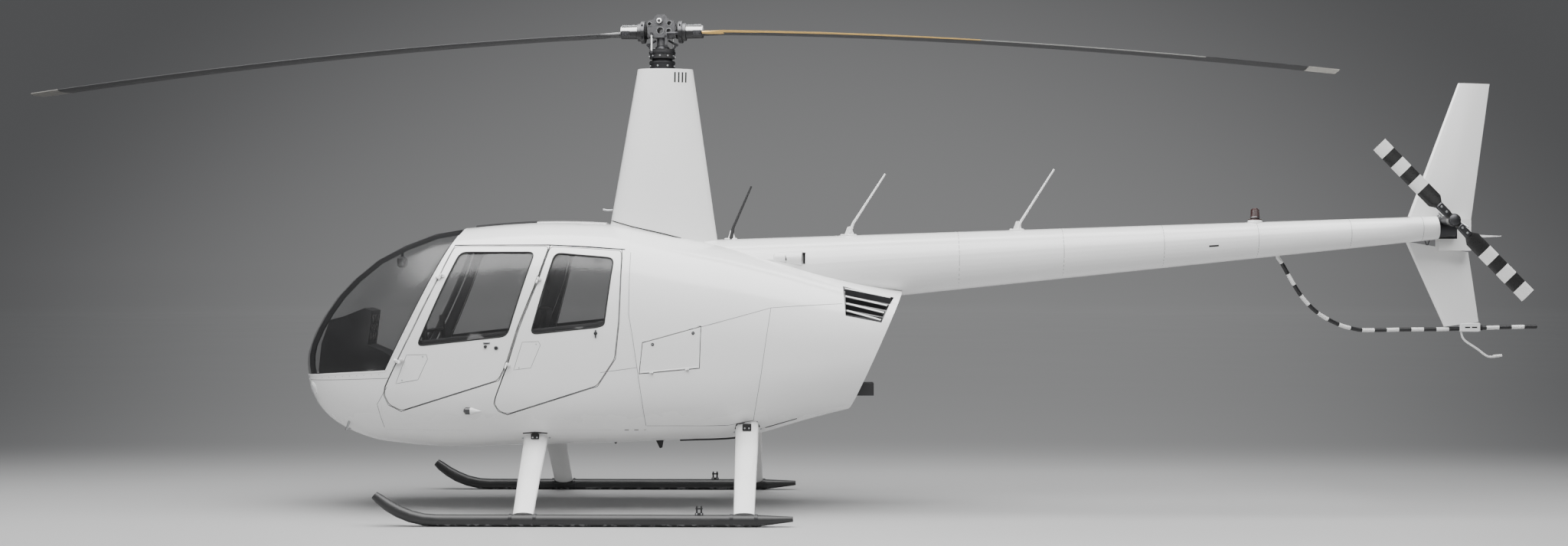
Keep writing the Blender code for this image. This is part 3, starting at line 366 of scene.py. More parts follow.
def tail_rotor_look():
    """White and black stripes counted in from the tip, over a dark root."""
    look = Look("tail_blade_stripes", (0.8, 0.8, 0.8), 0.3, coat_weight=0.3)
    x, _, z = look.split()
    along = ((x - TAIL_HUB[0]) * math.cos(TAIL_TURN) - (z - TAIL_HUB[2]) * math.sin(TAIL_TURN)).size()
    count = ((TAIL_RADIUS - along) / TAIL_STRIPE).floor()
    odd = count - (count / 2).floor() * 2
    black = odd.most(along.below(TAIL_RADIUS - 6 * TAIL_STRIPE))
    speck = look.noise(90.0, 5.0)
    white = look.mix(speck, (0.72, 0.72, 0.71), (0.80, 0.80, 0.79))
    dark = look.mix(speck, (0.012, 0.012, 0.012), (0.03, 0.03, 0.03))
    look.set(base_color=look.mix(black, white, dark), roughness=speck * 0.15 + 0.22)
    look.bump(speck, 0.00008)
    return look.material


# %% Parts in two finishes
def grille_shade_zone(look):
    """The cowl grille's mouth, painted shade on the skin: between two sloping lines, from one slanted end to the
    other.
    """
    x, y, z = look.split()
    station = x - MAST_X
    depth = z - 1.619 + (station - 1.304) * 0.1945
    ends = (station + z * 0.082).above(1.437) * (station - z * 0.477).below(0.931)
    return depth.below(0.0) * depth.above(-0.2155) * ends * y.size().above(0.30)


def lamp_zone(look):
    """The dark lens in front of a navigation lamp's white tail."""
    return (look.split()[0] - MAST_X).below(-1.292)


def pad_zone(look):
    """The tail gearbox's mounting pad, painted white like the fin it carries."""
    x, _, z = look.split()
    return (x - MAST_X).above(5.750).most(z.below(1.945))


def grip_highlight_zone(look):
    """The upper halves of the blade grips, made pale as a painted highlight."""
    along, _, z = rotor_axes(look)
    return along.size().above(0.178) * z.above(3.450) * 0.8


def hub_look():
    """Grey hub plate, a painted highlight on the grips' tops, and black painted shade below the grips and at the
    swashplate.
    """
    look = Look("hub_metal", (0.12, 0.12, 0.125), 0.5)
    along, _, z = rotor_axes(look)
    cloud = look.noise(60.0, 6.0)
    plate = look.mix(cloud, (0.09, 0.09, 0.095), (0.17, 0.17, 0.175))
    # painted shade: black under the grips and at the swashplate, below the lit tops
    black = (along.size().above(0.118) * z.below(3.447)).most(z.below(3.345))
    shade = look.mix(black, plate, (0.016, 0.016, 0.017))
    look.set(base_color=look.mix(grip_highlight_zone(look), shade, (0.66, 0.66, 0.65)), metallic=0.6 - black * 0.6)
    look.set(roughness=cloud * 0.2 + 0.36)
    look.bump(cloud, 0.0003)
    return look.material


# the cowl's grille mouth is painted shade, dark on the closed skin behind the slats
COWL_WHITE = white_paint("cowl_white", dark_zone=grille_shade_zone)
LAMP_WHITE = white_paint("nav_lamp_white", dark_zone=lamp_zone)
PAD_METAL = metal("gearbox_metal", (0.08, 0.08, 0.085), 0.46, white_zone=pad_zone)
HUB_METAL = hub_look()
BLADE_LOOKS = {"aft": blade_look("aft_blade", 1), "forward": blade_look("forward_blade", -1)}
TAIL_STRIPES = tail_rotor_look()

# %% [markdown]
# ## Skid paint, lamps and the cabin's black parts
# Skids wear through to bright metal underneath, where they meet the ground. Lamp lenses are
# ribbed, the carpet is a loose pile, and the seats are soft black leather.

# %% More finishes
def skid_look():
    look = Look("skid_paint", (0.02, 0.02, 0.02), 0.4)
    height = look.split()[2]
    scuff = look.ramp(look.noise(22.0, 8.0), 0.50, 0.62) * (1 - look.ramp(height, 0.004, 0.024))
    haze = look.noise(7.0, 5.0)
    paint = look.mix(haze, (0.013, 0.013, 0.014), (0.030, 0.030, 0.030))
    look.set(base_color=look.mix(scuff, paint, (0.42, 0.42, 0.43)), metallic=scuff * 0.9)
    look.set(roughness=haze * 0.2 + 0.30)
    look.bump(look.noise(260.0, 3.0) - scuff * 0.5, 0.00015)
    return look.material


def lens_look():
    look = Look("beacon_lens", (0.03, 0.006, 0.006), 0.12, coat_weight=0.6)
    height = look.split()[2]
    rib = (height * 1400.0).math("SINE")
    look.set(base_color=look.mix(look.noise(30.0), (0.022, 0.005, 0.005), (0.045, 0.008, 0.007)))
    look.set(roughness=look.noise(50.0) * 0.1 + 0.08)
    look.bump(rib, 0.0006)
    return look.material


def leather_look():
    look = Look("seat_leather", (0.024, 0.024, 0.026), 0.5)
    pores = look.cells(420.0)
    folds = look.noise(16.0, 6.0)
    look.set(base_color=look.mix(folds, (0.016, 0.016, 0.018), (0.036, 0.036, 0.039)))
    look.set(roughness=folds * 0.2 + pores * 0.12 + 0.36)
    look.bump(pores * 0.5 + folds, 0.0007)
    return look.material


def grained(name, scale, detail, dark, pale, wear, smooth, depth):
    """One grain that varies the colour, the roughness and the bump together."""
    look = Look(name, pale, smooth)
    grain = look.noise(scale, detail)
    look.set(base_color=look.mix(grain, dark, pale), roughness=grain * wear + smooth)
    look.bump(grain, depth)
    return look.material


SKID_PAINT = skid_look()
LENS = lens_look()
LEATHER = leather_look()
CARPET = grained("carpet", 240.0, 6.0, (0.012, 0.012, 0.013), (0.055, 0.055, 0.058), 0.1, 0.88, 0.002)
GUARD_WHITE = grained("guard_white", 90.0, 5.0, (0.70, 0.70, 0.69), (0.80, 0.80, 0.79), 0.2, 0.2, 0.00008)
SEAM = plastic("seam_shadow", (0.07, 0.07, 0.07), 0.7, 500.0)
print("finishes", len(bpy.data.materials))
# %% [markdown]
# ## Welding and smoothing the solids
# A solid arrives as loose triangles, which would shade as flat facets. A small Geometry
# Nodes tree welds the corners, smooths the faces and keeps every edge sharper than a given
# angle. It is a modifier, so the solid itself stays as it came.

# %% Weld and smooth
def new_tree(name, *inputs):
    """A geometry tree with named inputs; returns its graph and its input sockets."""
    tree = bpy.data.node_groups.new(name, "GeometryNodeTree")
    tree.interface.new_socket("Geometry", in_out="INPUT", socket_type="NodeSocketGeometry")
    for label, kind in inputs:
        tree.interface.new_socket(label, in_out="INPUT", socket_type="NodeSocket" + kind)
    tree.interface.new_socket("Geometry", in_out="OUTPUT", socket_type="NodeSocketGeometry")
    start = tree.nodes.new("NodeGroupInput")
    return Graph(tree), [Sock(tree, out) for out in list(start.outputs)[:-1]]


def close_tree(graph, geometry):
    end = graph.tree.nodes.new("NodeGroupOutput")
    plug(graph.tree, end.inputs[0], geometry)


def use_tree(thing, tree, **values):
    """Add the tree as a modifier, its inputs set by the sockets' identifiers."""
    modifier = thing.modifiers.new(tree.name, "NODES")
    modifier.node_group = tree
    for item in tree.interface.items_tree:
        if item.name.lower() in values:
            modifier[item.identifier] = values[item.name.lower()]


def weld_tree():
    graph, (geometry, weld, crease) = new_tree("weld_and_smooth", ("Weld", "Float"), ("Crease", "Float"))
    merged = graph.node("GeometryNodeMergeByDistance", None, {"Geometry": geometry, "Distance": weld})
    smooth = graph.node("GeometryNodeSetShadeSmooth", {"domain": "FACE"}, {"Geometry": merged})
    angle = graph.node("GeometryNodeInputMeshEdgeAngle")
    sharp = {"Geometry": smooth, "Selection": angle.above(crease), "Shade Smooth": False}
    close_tree(graph, graph.node("GeometryNodeSetShadeSmooth", {"domain": "EDGE"}, sharp))
    return graph.tree


WELD = weld_tree()
WELD_GAP, CREASE = 0.00005, math.radians(32)
LOOK_OF_SLOT = {
    "white_paint": WHITE, "tinted_glass": GLASS, "black_trim": TRIM, "seat_cover": LEATHER,
    "black_paint": SKID_PAINT, "bare_steel": STEEL, "cast_alloy": CAST, "blade_paint": BLACK, "lens": LENS,
}
LOOK_OF_NODE = {
    "main_blade_aft": BLADE_LOOKS["aft"], "main_blade_forward": BLADE_LOOKS["forward"],
    "tail_rotor": TAIL_STRIPES, "cabin_floor": CARPET, "rear_bulkhead": CARPET, "tail_gearbox": PAD_METAL,
    "rotor_hub": HUB_METAL, "exhaust_box": TRIM, "nav_light_left": LAMP_WHITE, "nav_light_right": LAMP_WHITE,
}
for entry in frame["record"]["subparts"]:
    name = entry["node"]
    node = NODES[name]
    node.data.materials.clear()
    node.data.materials.append(LOOK_OF_NODE.get(name, LOOK_OF_SLOT[entry["material_slot"]]))
    use_tree(node, WELD, weld=WELD_GAP, crease=CREASE)
print("welded and smoothed", len(NODES), "solids")

# %% [markdown]
# ## The pod's true surface
# The cabin and cowl are one egg-shaped body. Each cross-section is a superellipse: a rounded
# box whose power says how square it is. The rows below are its sections from the nose aft.
# A smooth curve through the rows gives a fine guide surface, for shading and placing.

# %% Guide surface
POD = [
    # station, low, high, half width, widest at, power
    (-2.567, 1.020, 1.100, 0.060, 1.06, 2.00), (-2.548, 0.915, 1.185, 0.160, 1.05, 2.05),
    (-2.500, 0.775, 1.295, 0.265, 1.05, 2.10), (-2.430, 0.682, 1.415, 0.355, 1.05, 2.15),
    (-2.340, 0.610, 1.540, 0.420, 1.05, 2.20), (-2.220, 0.548, 1.665, 0.475, 1.05, 2.30),
    (-2.060, 0.495, 1.795, 0.530, 1.05, 2.40), (-1.860, 0.468, 1.900, 0.578, 1.05, 2.50),
    (-1.640, 0.450, 1.983, 0.610, 1.05, 2.60), (-1.420, 0.444, 2.020, 0.630, 1.05, 2.70),
    (-1.100, 0.458, 2.050, 0.640, 1.05, 2.80), (-0.780, 0.465, 2.064, 0.640, 1.05, 2.80),
    (-0.360, 0.477, 2.050, 0.640, 1.06, 2.80), (-0.100, 0.488, 2.005, 0.640, 1.08, 2.75),
    (0.190, 0.499, 1.945, 0.625, 1.10, 2.70), (0.510, 0.512, 1.885, 0.600, 1.12, 2.60),
    (0.740, 0.550, 1.830, 0.575, 1.14, 2.50), (0.960, 0.615, 1.775, 0.550, 1.15, 2.45),
    (1.200, 0.680, 1.705, 0.515, 1.17, 2.40), (1.480, 0.750, 1.630, 0.470, 1.19, 2.40),
    (1.740, 0.820, 1.575, 0.425, 1.20, 2.40), (1.960, 0.880, 1.530, 0.390, 1.20, 2.40),
]
POD_STEPS, POD_AROUND = 6, 144


def slopes(rows):
    """The change of each number with station, taken across each row's two neighbours."""
    result = []
    for i in range(len(rows)):
        low, high = rows[max(i - 1, 0)], rows[min(i + 1, len(rows) - 1)]
        result.append([(b - a) / (high[0] - low[0]) for a, b in zip(low, high)])
    return result


def hermite(t, first, second, slope, next_slope, span):
    """A smooth curve from first to second that leaves and arrives at the given slopes."""
    a, b = 2 * t ** 3 - 3 * t ** 2 + 1, t ** 3 - 2 * t ** 2 + t
    c, d = 3 * t ** 2 - 2 * t ** 3, t ** 3 - t ** 2
    return a * first + b * span * slope + c * second + d * span * next_slope


def pod_rows():
    rises = slopes(POD)
    rows = []
    for i in range(len(POD) - 1):
        span = POD[i + 1][0] - POD[i][0]
        for step in range(POD_STEPS):
            t = step / POD_STEPS
            row = [hermite(t, *numbers, span) for numbers in zip(POD[i], POD[i + 1], rises[i], rises[i + 1])]
            row[0] = POD[i][0] + span * t
            rows.append(row)
    return rows + [list(POD[-1])]


def pod_ring(row):
    station, low, high, half, widest, power = row
    ring = []
    for j in range(POD_AROUND):
        turn = 2 * math.pi * (j + 0.5) / POD_AROUND
        c, s = math.cos(turn), math.sin(turn)
        y = math.copysign(half * abs(c) ** (2 / power), c)
        reach = high - widest if s > 0 else widest - low
        ring.append(at(station, y, widest + math.copysign(reach * abs(s) ** (2 / power), s)))
    return ring


class Surface:
    """A mesh that answers where a line from outside meets it, and which way it faces there."""

    def __init__(self, mesh):
        self.corners = [v.co.copy() for v in mesh.vertices]
        self.faces = [tuple(p.vertices) for p in mesh.polygons]
        self.normals = [v.normal.copy() for v in mesh.vertices]
        self.tree = BVHTree.FromPolygons(self.corners, self.faces)

    def normal_at(self, spot, face):
        """The smooth normal, blended from the corners of the face."""
        total = Vector()
        for i in self.faces[face]:
            total += self.normals[i] / ((self.corners[i] - spot).length + 1e-5)
        return total.normalized()

    def hit(self, start, direction):
        spot, _, face, _ = self.tree.ray_cast(Vector(start), Vector(direction))
        if spot is None:
            return None
        normal = self.normal_at(spot, face)
        return spot, normal if normal.dot(Vector(direction)) < 0 else -normal

    def side(self, x, z, way):
        """The skin at a station and a height, seen from the left (-1) or the right (+1)."""
        return self.hit(at(x, 3.0 * way, z), (0, -way, 0))

    def top(self, x, y):
        return self.hit(at(x, y, 4.0), -UP)

    def below(self, x, y):
        return self.hit(at(x, y, 0.05), UP)

    def nearest(self, spot):
        place, _, face, gap = self.tree.find_nearest(spot)
        return place, self.normal_at(place, face), gap


def mesh_of(rings, name):
    """A plain mesh through rings of equal point counts, open at both ends."""
    count = len(rings[0])
    faces = []
    for i in range(len(rings) - 1):
        for j in range(count):
            k = (j + 1) % count
            faces.append((i * count + j, (i + 1) * count + j, (i + 1) * count + k, i * count + k))
    mesh = bpy.data.meshes.new(name)
    mesh.from_pydata([p for ring in rings for p in ring], [], faces)
    mesh.update()
    return mesh


SKIN = Surface(mesh_of([pod_ring(row) for row in pod_rows()], "pod_guide"))
if SKIN.normals[40 * POD_AROUND].dot(SKIN.corners[40 * POD_AROUND] - Vector((-2.0, 0, 1.2))) < 0:
    SKIN.normals = [-n for n in SKIN.normals]
FAIRING = Surface(NODES["mast_fairing"].data)
print("guide faces", len(SKIN.faces), "side at the doors", SKIN.side(-1.1, 1.2, -1)[0][:])

# %% [markdown]
# ## Skin panels, doors and windows
# Paint and acrylic show every facet in their reflections. Each panel is copied from its
# solid, its long edges are divided, and the points that lie on the skin move onto the guide
# surface. Custom normals from the guide then carry one highlight across all the panels.
# The faces that look into the cabin get the black lining.

# %% Smooth skin panels
SNAP, LONG_EDGE = 0.007, 0.075
NEAR_SKIN, ALONG_SKIN, FACES_CABIN = 0.010, 0.93, -0.4
SINGLE = ("nose_bowl", "belly_pan", "roof_panel", "engine_cowl")
PAIRED = ("cabin_side", "door_front", "door_rear", "cowl_door", "windshield", "door_front_glass", "door_rear_glass")
LINED = ("nose_bowl", "belly_pan", "roof_panel", "cabin_side", "door_front", "door_rear")
PANELS = {name: COWL_WHITE if name == "engine_cowl" else WHITE for name in SINGLE}
for name in PAIRED:
    for word, way in SIDES:
        PANELS[name + "_" + word] = GLASS if "glass" in name or name == "windshield" else WHITE


def on_skin(vert, normal, gap):
    """True where a corner lies on the outer skin and not on an edge's inner face."""
    return gap < SNAP and any(f.normal.dot(normal) > 0.97 for f in vert.link_faces)


def smooth_panel(name, look):
    """A panel's copy, finer and fitted to the guide, standing for its solid."""
    work = bmesh.new()
    work.from_mesh(NODES[name].data)
    bmesh.ops.remove_doubles(work, verts=work.verts, dist=WELD_GAP)
    for _ in range(3):
        long = [e for e in work.edges if e.calc_length() > LONG_EDGE]
        bmesh.ops.subdivide_edges(work, edges=long, cuts=1)
    bmesh.ops.triangulate(work, faces=[f for f in work.faces if len(f.verts) > 3])
    work.normal_update()
    for vert in work.verts:
        place, normal, gap = SKIN.nearest(vert.co)
        if look is not GLASS and on_skin(vert, normal, gap):
            vert.co = place
    mesh = bpy.data.meshes.new(name + "_skin")
    work.to_mesh(mesh)
    work.free()
    mesh.shade_smooth()
    mesh.set_sharp_from_angle(angle=CREASE)
    guide = [SKIN.nearest(v.co) for v in mesh.vertices]
    normals = [Vector(n.vector) for n in mesh.corner_normals]
    lined = look is WHITE and name.startswith(LINED)
    mesh.materials.append(look)
    if lined:
        mesh.materials.append(LINING)
    for face in mesh.polygons:
        for loop in face.loop_indices:
            place, normal, gap = guide[mesh.loops[loop].vertex_index]
            facing = face.normal.dot(normal)
            if lined and facing < FACES_CABIN:
                face.material_index = 1
            if gap < NEAR_SKIN and abs(facing) > ALONG_SKIN:
                normals[loop] = normal if facing > 0 else -normal
    mesh.normals_split_custom_set(normals)
    made = link(name + "_skin", mesh)
    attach(made, NODES[name]["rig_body"])
    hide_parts(name)
    return made


pieces = [smooth_panel(name, look) for name, look in PANELS.items()]
print("panels", len(pieces), "faces", sum(len(piece.data.polygons) for piece in pieces))

# %% [markdown]
# ## A small kit for hard parts
# Trim, brackets and pipes are all closed shells through rings of points. `Shape` gathers
# such shells and ends as one mesh: welded, facing outward, and riding on a body.

# %% Shape kit
def axes_for(direction):
    """Two unit vectors square to a direction, and the direction itself."""
    ahead = Vector(direction).normalized()
    helper = UP if abs(ahead.z) < 0.9 else Vector((1, 0, 0))
    side = ahead.cross(helper).normalized()
    return side, side.cross(ahead).normalized(), ahead


class Shape:
    """Closed shells gathered into one piece."""

    def __init__(self):
        self.points, self.faces, self.looks = [], [], []

    def rings(self, rings, look=0, loop=False):
        """A shell through rings with equal point counts; capped, or joined into a loop."""
        base, count, before = len(self.points), len(rings[0]), len(self.faces)
        self.points += [Vector(p) for ring in rings for p in ring]
        for i in range(len(rings) if loop else len(rings) - 1):
            here, there = base + i * count, base + (i + 1) % len(rings) * count
            for j in range(count):
                k = (j + 1) % count
                self.faces.append((here + j, here + k, there + k, there + j))
        if not loop:
            self.faces.append(tuple(base + j for j in range(count))[::-1])
            self.faces.append(tuple(base + (len(rings) - 1) * count + j for j in range(count)))
        self.looks += [look] * (len(self.faces) - before)

    def tube(self, path, radius, sides=12, look=0, loop=False):
        """A round bar along points; radius is a number or one for each point."""
        path = [Vector(p) for p in path]
        radii = radius if isinstance(radius, (list, tuple)) else [radius] * len(path)
        side, rings = None, []
        for i, here in enumerate(path):
            before = path[i - 1] if i or loop else here
            after = path[(i + 1) % len(path)] if i + 1 < len(path) or loop else here
            ahead = (after - before).normalized()
            side = axes_for(ahead)[0] if side is None else (side - ahead * side.dot(ahead)).normalized()
            up = side.cross(ahead)
            rings.append([here + (side * c + up * s) * radii[i] for c, s in around(sides)])
        self.rings(rings, look, loop)

    def turned(self, centre, axis, profile, sides=16, look=0):
        """A turned part: profile is a list of (distance along the axis, radius)."""
        side, up, ahead = axes_for(axis)
        rings = []
        for along, radius in profile:
            middle = Vector(centre) + ahead * along
            rings.append([middle + (side * c + up * s) * radius for c, s in around(sides)])
        self.rings(rings, look)

    def bolt(self, spot, axis, radius, height, sides=6, look=1, top=None):
        """A plain head or pin; top is the smaller radius a millimetre above its edge."""
        profile = [(0, radius), (height, radius)] + ([(height + 0.001, top)] if top else [])
        self.turned(spot, axis, profile, sides, look)

    def block(self, centre, size, bevel=0.002, axes=None, look=0):
        """A box with its edges broken; axes are its three directions."""
        a, b, c = axes or (Vector((1, 0, 0)), Vector((0, 1, 0)), UP)
        x, y, z = [0.5 * s for s in size]
        rings = []
        for up, inset in ((-z, bevel), (-z + bevel, 0.0), (z - bevel, 0.0), (z, bevel)):
            u, v, cut = x - inset, y - inset, bevel
            corners = [(u, cut - v), (u, v - cut), (u - cut, v), (cut - u, v), (-u, v - cut), (-u, cut - v),
                       (cut - u, -v), (u - cut, -v)]
            rings.append([Vector(centre) + a * p + b * q + c * up for p, q in corners])
        self.rings(rings, look)

    def strip(self, spots, width, height, sink=0.002, look=0, loop=False):
        """A low rounded band over a surface; spots is a list of (point, normal)."""
        rings = []
        for i, (spot, normal) in enumerate(spots):
            before = spots[i - 1][0] if i or loop else spot
            after = spots[(i + 1) % len(spots)][0] if i + 1 < len(spots) or loop else spot
            across = (after - before).cross(normal).normalized() * (0.5 * width)
            rings.append([spot + across * share + normal * rise for share, rise in (
                (-1, -sink), (-1, 0.5 * height), (-0.6, height), (0.6, height), (1, 0.5 * height), (1, -sink))])
        self.rings(rings, look, loop)

    def piece(self, name, looks, body="airframe", slot=None):
        """Make the mesh and let it ride; slot is not used."""
        mesh = bpy.data.meshes.new(name)
        mesh.from_pydata(self.points, [], self.faces)
        mesh.polygons.foreach_set("material_index", self.looks)
        work = bmesh.new()
        work.from_mesh(mesh)
        bmesh.ops.recalc_face_normals(work, faces=work.faces)
        work.to_mesh(mesh)
        work.free()
        mesh.shade_smooth()
        mesh.set_sharp_from_angle(angle=math.radians(35))
        looks = looks if isinstance(looks, list) else [looks]
        for look in looks:
            mesh.materials.append(look)
        made = link(name, mesh)
        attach(made, body)
        return made


def rounded(outline, radius, steps=4):
    """Replace each corner of an outline by a short arc."""
    result = []
    for i, corner in enumerate(outline):
        here = Vector(corner)
        to_last, to_next = Vector(outline[i - 1]) - here, Vector(outline[(i + 1) % len(outline)]) - here
        reach = min(radius, 0.4 * to_last.length, 0.4 * to_next.length)
        start, end = here + to_last.normalized() * reach, here + to_next.normalized() * reach
        for s in range(steps + 1):
            t = s / steps
            result.append(tuple(start * (1 - t) ** 2 + here * 2 * t * (1 - t) + end * t ** 2))
    return result


STEP = 0.03


def walk(path, step=STEP, loop=False):
    """Points along a broken line, none further apart than a step."""
    ends = path[1:] + path[:1] if loop else path[1:]
    result = []
    for a, b in zip(path, ends):
        a, b = Vector(a), Vector(b)
        count = max(1, math.ceil((b - a).length / step))
        result += [tuple(a.lerp(b, i / count)) for i in range(count)]
    return result if loop else result + [tuple(path[-1])]


def pace(path, step, loop=False):
    """Points an even step apart along a broken line, for fasteners."""
    fine = [Vector(p) for p in walk(path, step / 20, loop)]
    result, left = [], 0.0
    for a, b in zip(fine, fine[1:]):
        left -= (b - a).length
        if left <= 0:
            result.append(tuple(b))
            left += step
    return result


def inset(outline, amount):
    """Move an outline's points towards its middle by about an amount."""
    middle = sum((Vector(p) for p in outline), Vector((0, 0))) / len(outline)
    return [tuple(Vector(p) + (middle - Vector(p)).normalized() * amount) for p in outline]


def on_side(path, way, surface=None):
    """The skin's (point, normal) under each (x, z) of a side-view path."""
    found = [(surface or SKIN).side(x, z, way) for x, z in path]
    return [spot for spot in found if spot]


print("kit ready")
# %% [markdown]
# ## Fasteners by Geometry Nodes
# A machine like this carries hundreds of small screws and rivets. Each row is a cloud of
# points, and every point remembers which way the skin faces. One tree puts a low turned
# head on each point and stands it up along that direction.

# %% Fastener tree
def fastener_tree():
    inputs = (("Radius", "Float"), ("Height", "Float"), ("Finish", "Material"))
    graph, (geometry, radius, height, finish) = new_tree("fasteners", *inputs)
    sizes = {"Vertices": 8, "Radius Top": radius * 0.72, "Radius Bottom": radius, "Depth": height}
    head = graph.node("GeometryNodeMeshCone", None, sizes)
    out = graph.node("GeometryNodeInputNamedAttribute", {"data_type": "FLOAT_VECTOR"}, {"Name": "out"})
    turn = graph.node("FunctionNodeAlignRotationToVector", {"axis": "Z"}, {"Vector": out})
    points = graph.node("GeometryNodeMeshToPoints", None, {"Mesh": geometry})
    placed = {"Points": points, "Instance": head, "Rotation": turn}
    plain = graph.node("GeometryNodeRealizeInstances", None,
                       {"Geometry": graph.node("GeometryNodeInstanceOnPoints", None, placed)})
    close_tree(graph, graph.node("GeometryNodeSetMaterial", None, {"Geometry": plain, "Material": finish}))
    return graph.tree


FASTENERS = fastener_tree()


def fasteners(name, spots, look, radius, height):
    """Heads on a list of (point, normal), as one plain mesh on the airframe."""
    mesh = bpy.data.meshes.new(name)
    mesh.from_pydata([tuple(p) for p, _ in spots], [], [])
    out = mesh.attributes.new("out", "FLOAT_VECTOR", "POINT")
    out.data.foreach_set("vector", [v for _, n in spots for v in n])
    cloud = link(name + "_points", mesh)
    use_tree(cloud, FASTENERS, radius=radius, height=height, finish=look)
    seen = cloud.evaluated_get(bpy.context.evaluated_depsgraph_get())
    plain = bpy.data.meshes.new_from_object(seen)
    plain.name = name
    bpy.data.objects.remove(cloud)
    if not plain.materials:
        plain.materials.append(look)
    made = link(name, plain)
    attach(made, "airframe")


# %% [markdown]
# ## Window seals, sill bands and door edges
# Each acrylic pane sits in a black rubber channel. Behind its lower edge shows the top of the
# door's inner trim, a dark band. A thin dark strip just inside each door's outline is painted
# shade that darkens the gap round the door. The outlines are the ones that the solids were cut with.

# %% Doors and windows
WINDOW_CORNER, DOOR_CORNER = 0.045, 0.03
SEAM_WIDTH, GAP_SHADE_WIDTH, GAP_SHADE_INSET = 0.0028, 0.0046, 0.0035
# every outline below is a list of (station, height), as seen from the side
FRONT_DOOR = [(-1.430, 1.890), (-1.515, 1.687), (-1.683, 1.335), (-1.802, 1.095), (-1.896, 0.902),
              (-1.905, 0.848), (-1.875, 0.778), (-1.786, 0.735), (-1.089, 0.955), (-1.039, 1.051),
              (-0.958, 1.315), (-0.829, 1.649), (-0.757, 1.890)]
REAR_DOOR = [(-0.749, 1.890), (-0.820, 1.649), (-0.949, 1.315), (-1.030, 1.051), (-1.113, 0.832),
             (-1.123, 0.791), (-1.094, 0.738), (-1.033, 0.716), (-0.402, 0.916), (-0.278, 1.105),
             (-0.252, 1.363), (-0.246, 1.574), (-0.244, 1.803), (-0.250, 1.860)]
FRONT_WINDOW = [(-1.384, 1.846), (-0.856, 1.846), (-1.031, 1.262), (-1.663, 1.192)]
REAR_WINDOW = [(-0.712, 1.841), (-0.299, 1.805), (-0.356, 1.339), (-0.401, 1.324), (-0.866, 1.275)]
FRONT_PANEL = [(-1.816, 0.928), (-1.737, 1.129), (-1.594, 1.133), (-1.586, 1.101), (-1.655, 0.957)]
REAR_PANEL = [(-0.982, 1.028), (-0.923, 1.220), (-0.809, 1.225), (-0.797, 1.199), (-0.863, 1.042)]
FRONT_SILL = [(-1.655, 1.200), (-1.040, 1.268)]
REAR_SILL = [(-0.858, 1.283), (-0.405, 1.331), (-0.362, 1.345)]


def window_trim(word, way, name, window, sill):
    """The rubber channel round a pane, and the dark trim behind its lower edge."""
    rubber = Shape()
    path = walk(rounded(window, WINDOW_CORNER), loop=True)
    rubber.strip(on_side(path, way), 0.010, 0.0022, 0.004, loop=True)
    rubber.piece(name + "_seal_" + word, RUBBER, name + "_" + word)
    band = Shape()
    spots = on_side(walk(sill), way)
    inner = [(spot - normal * 0.0165 + UP * 0.014, normal) for spot, normal in spots]
    band.strip(inner, 0.030, 0.004, 0.004)
    band.piece(name + "_sill_" + word, TRIM, name + "_" + word)


def panel_seam(shape, outline, way, loop=True, width=SEAM_WIDTH):
    """A fine dark joint line between two sheets."""
    shape.strip(on_side(walk(outline, STEP, loop), way), width, 0.0005, 0.002, loop=loop)


DOORS = (("door_front", FRONT_WINDOW, FRONT_SILL, FRONT_PANEL, FRONT_DOOR),
         ("door_rear", REAR_WINDOW, REAR_SILL, REAR_PANEL, REAR_DOOR))
for word, way in SIDES:
    for name, window, sill, panel, outline in DOORS:
        window_trim(word, way, name, window, sill)
        line, edge = Shape(), Shape()
        panel_seam(line, panel, way)
        line.piece(name + "_panel_seam_" + word, SEAM, name + "_" + word)
        # painted shade: a dark rubber strip just inside each door's outline darkens the gap round the door
        panel_seam(edge, inset(rounded(outline, DOOR_CORNER), GAP_SHADE_INSET), way, width=GAP_SHADE_WIDTH)
        edge.piece(name + "_gap_shade_strip_" + word, RUBBER, name + "_" + word)
print("window trims on", len(SIDES) * 2, "doors")

# %% [markdown]
# ## Handles, locks and latches
# Each door has a small dished handle set into the skin and a round lock beside it. They are
# turned and bevelled shells seated on the skin's own direction.

# %% Door fittings
def seat_axes(normal, way):
    """Along, up and out at a place on the skin."""
    along = UP.cross(normal).normalized() * way
    return along, normal.cross(along).normalized(), normal


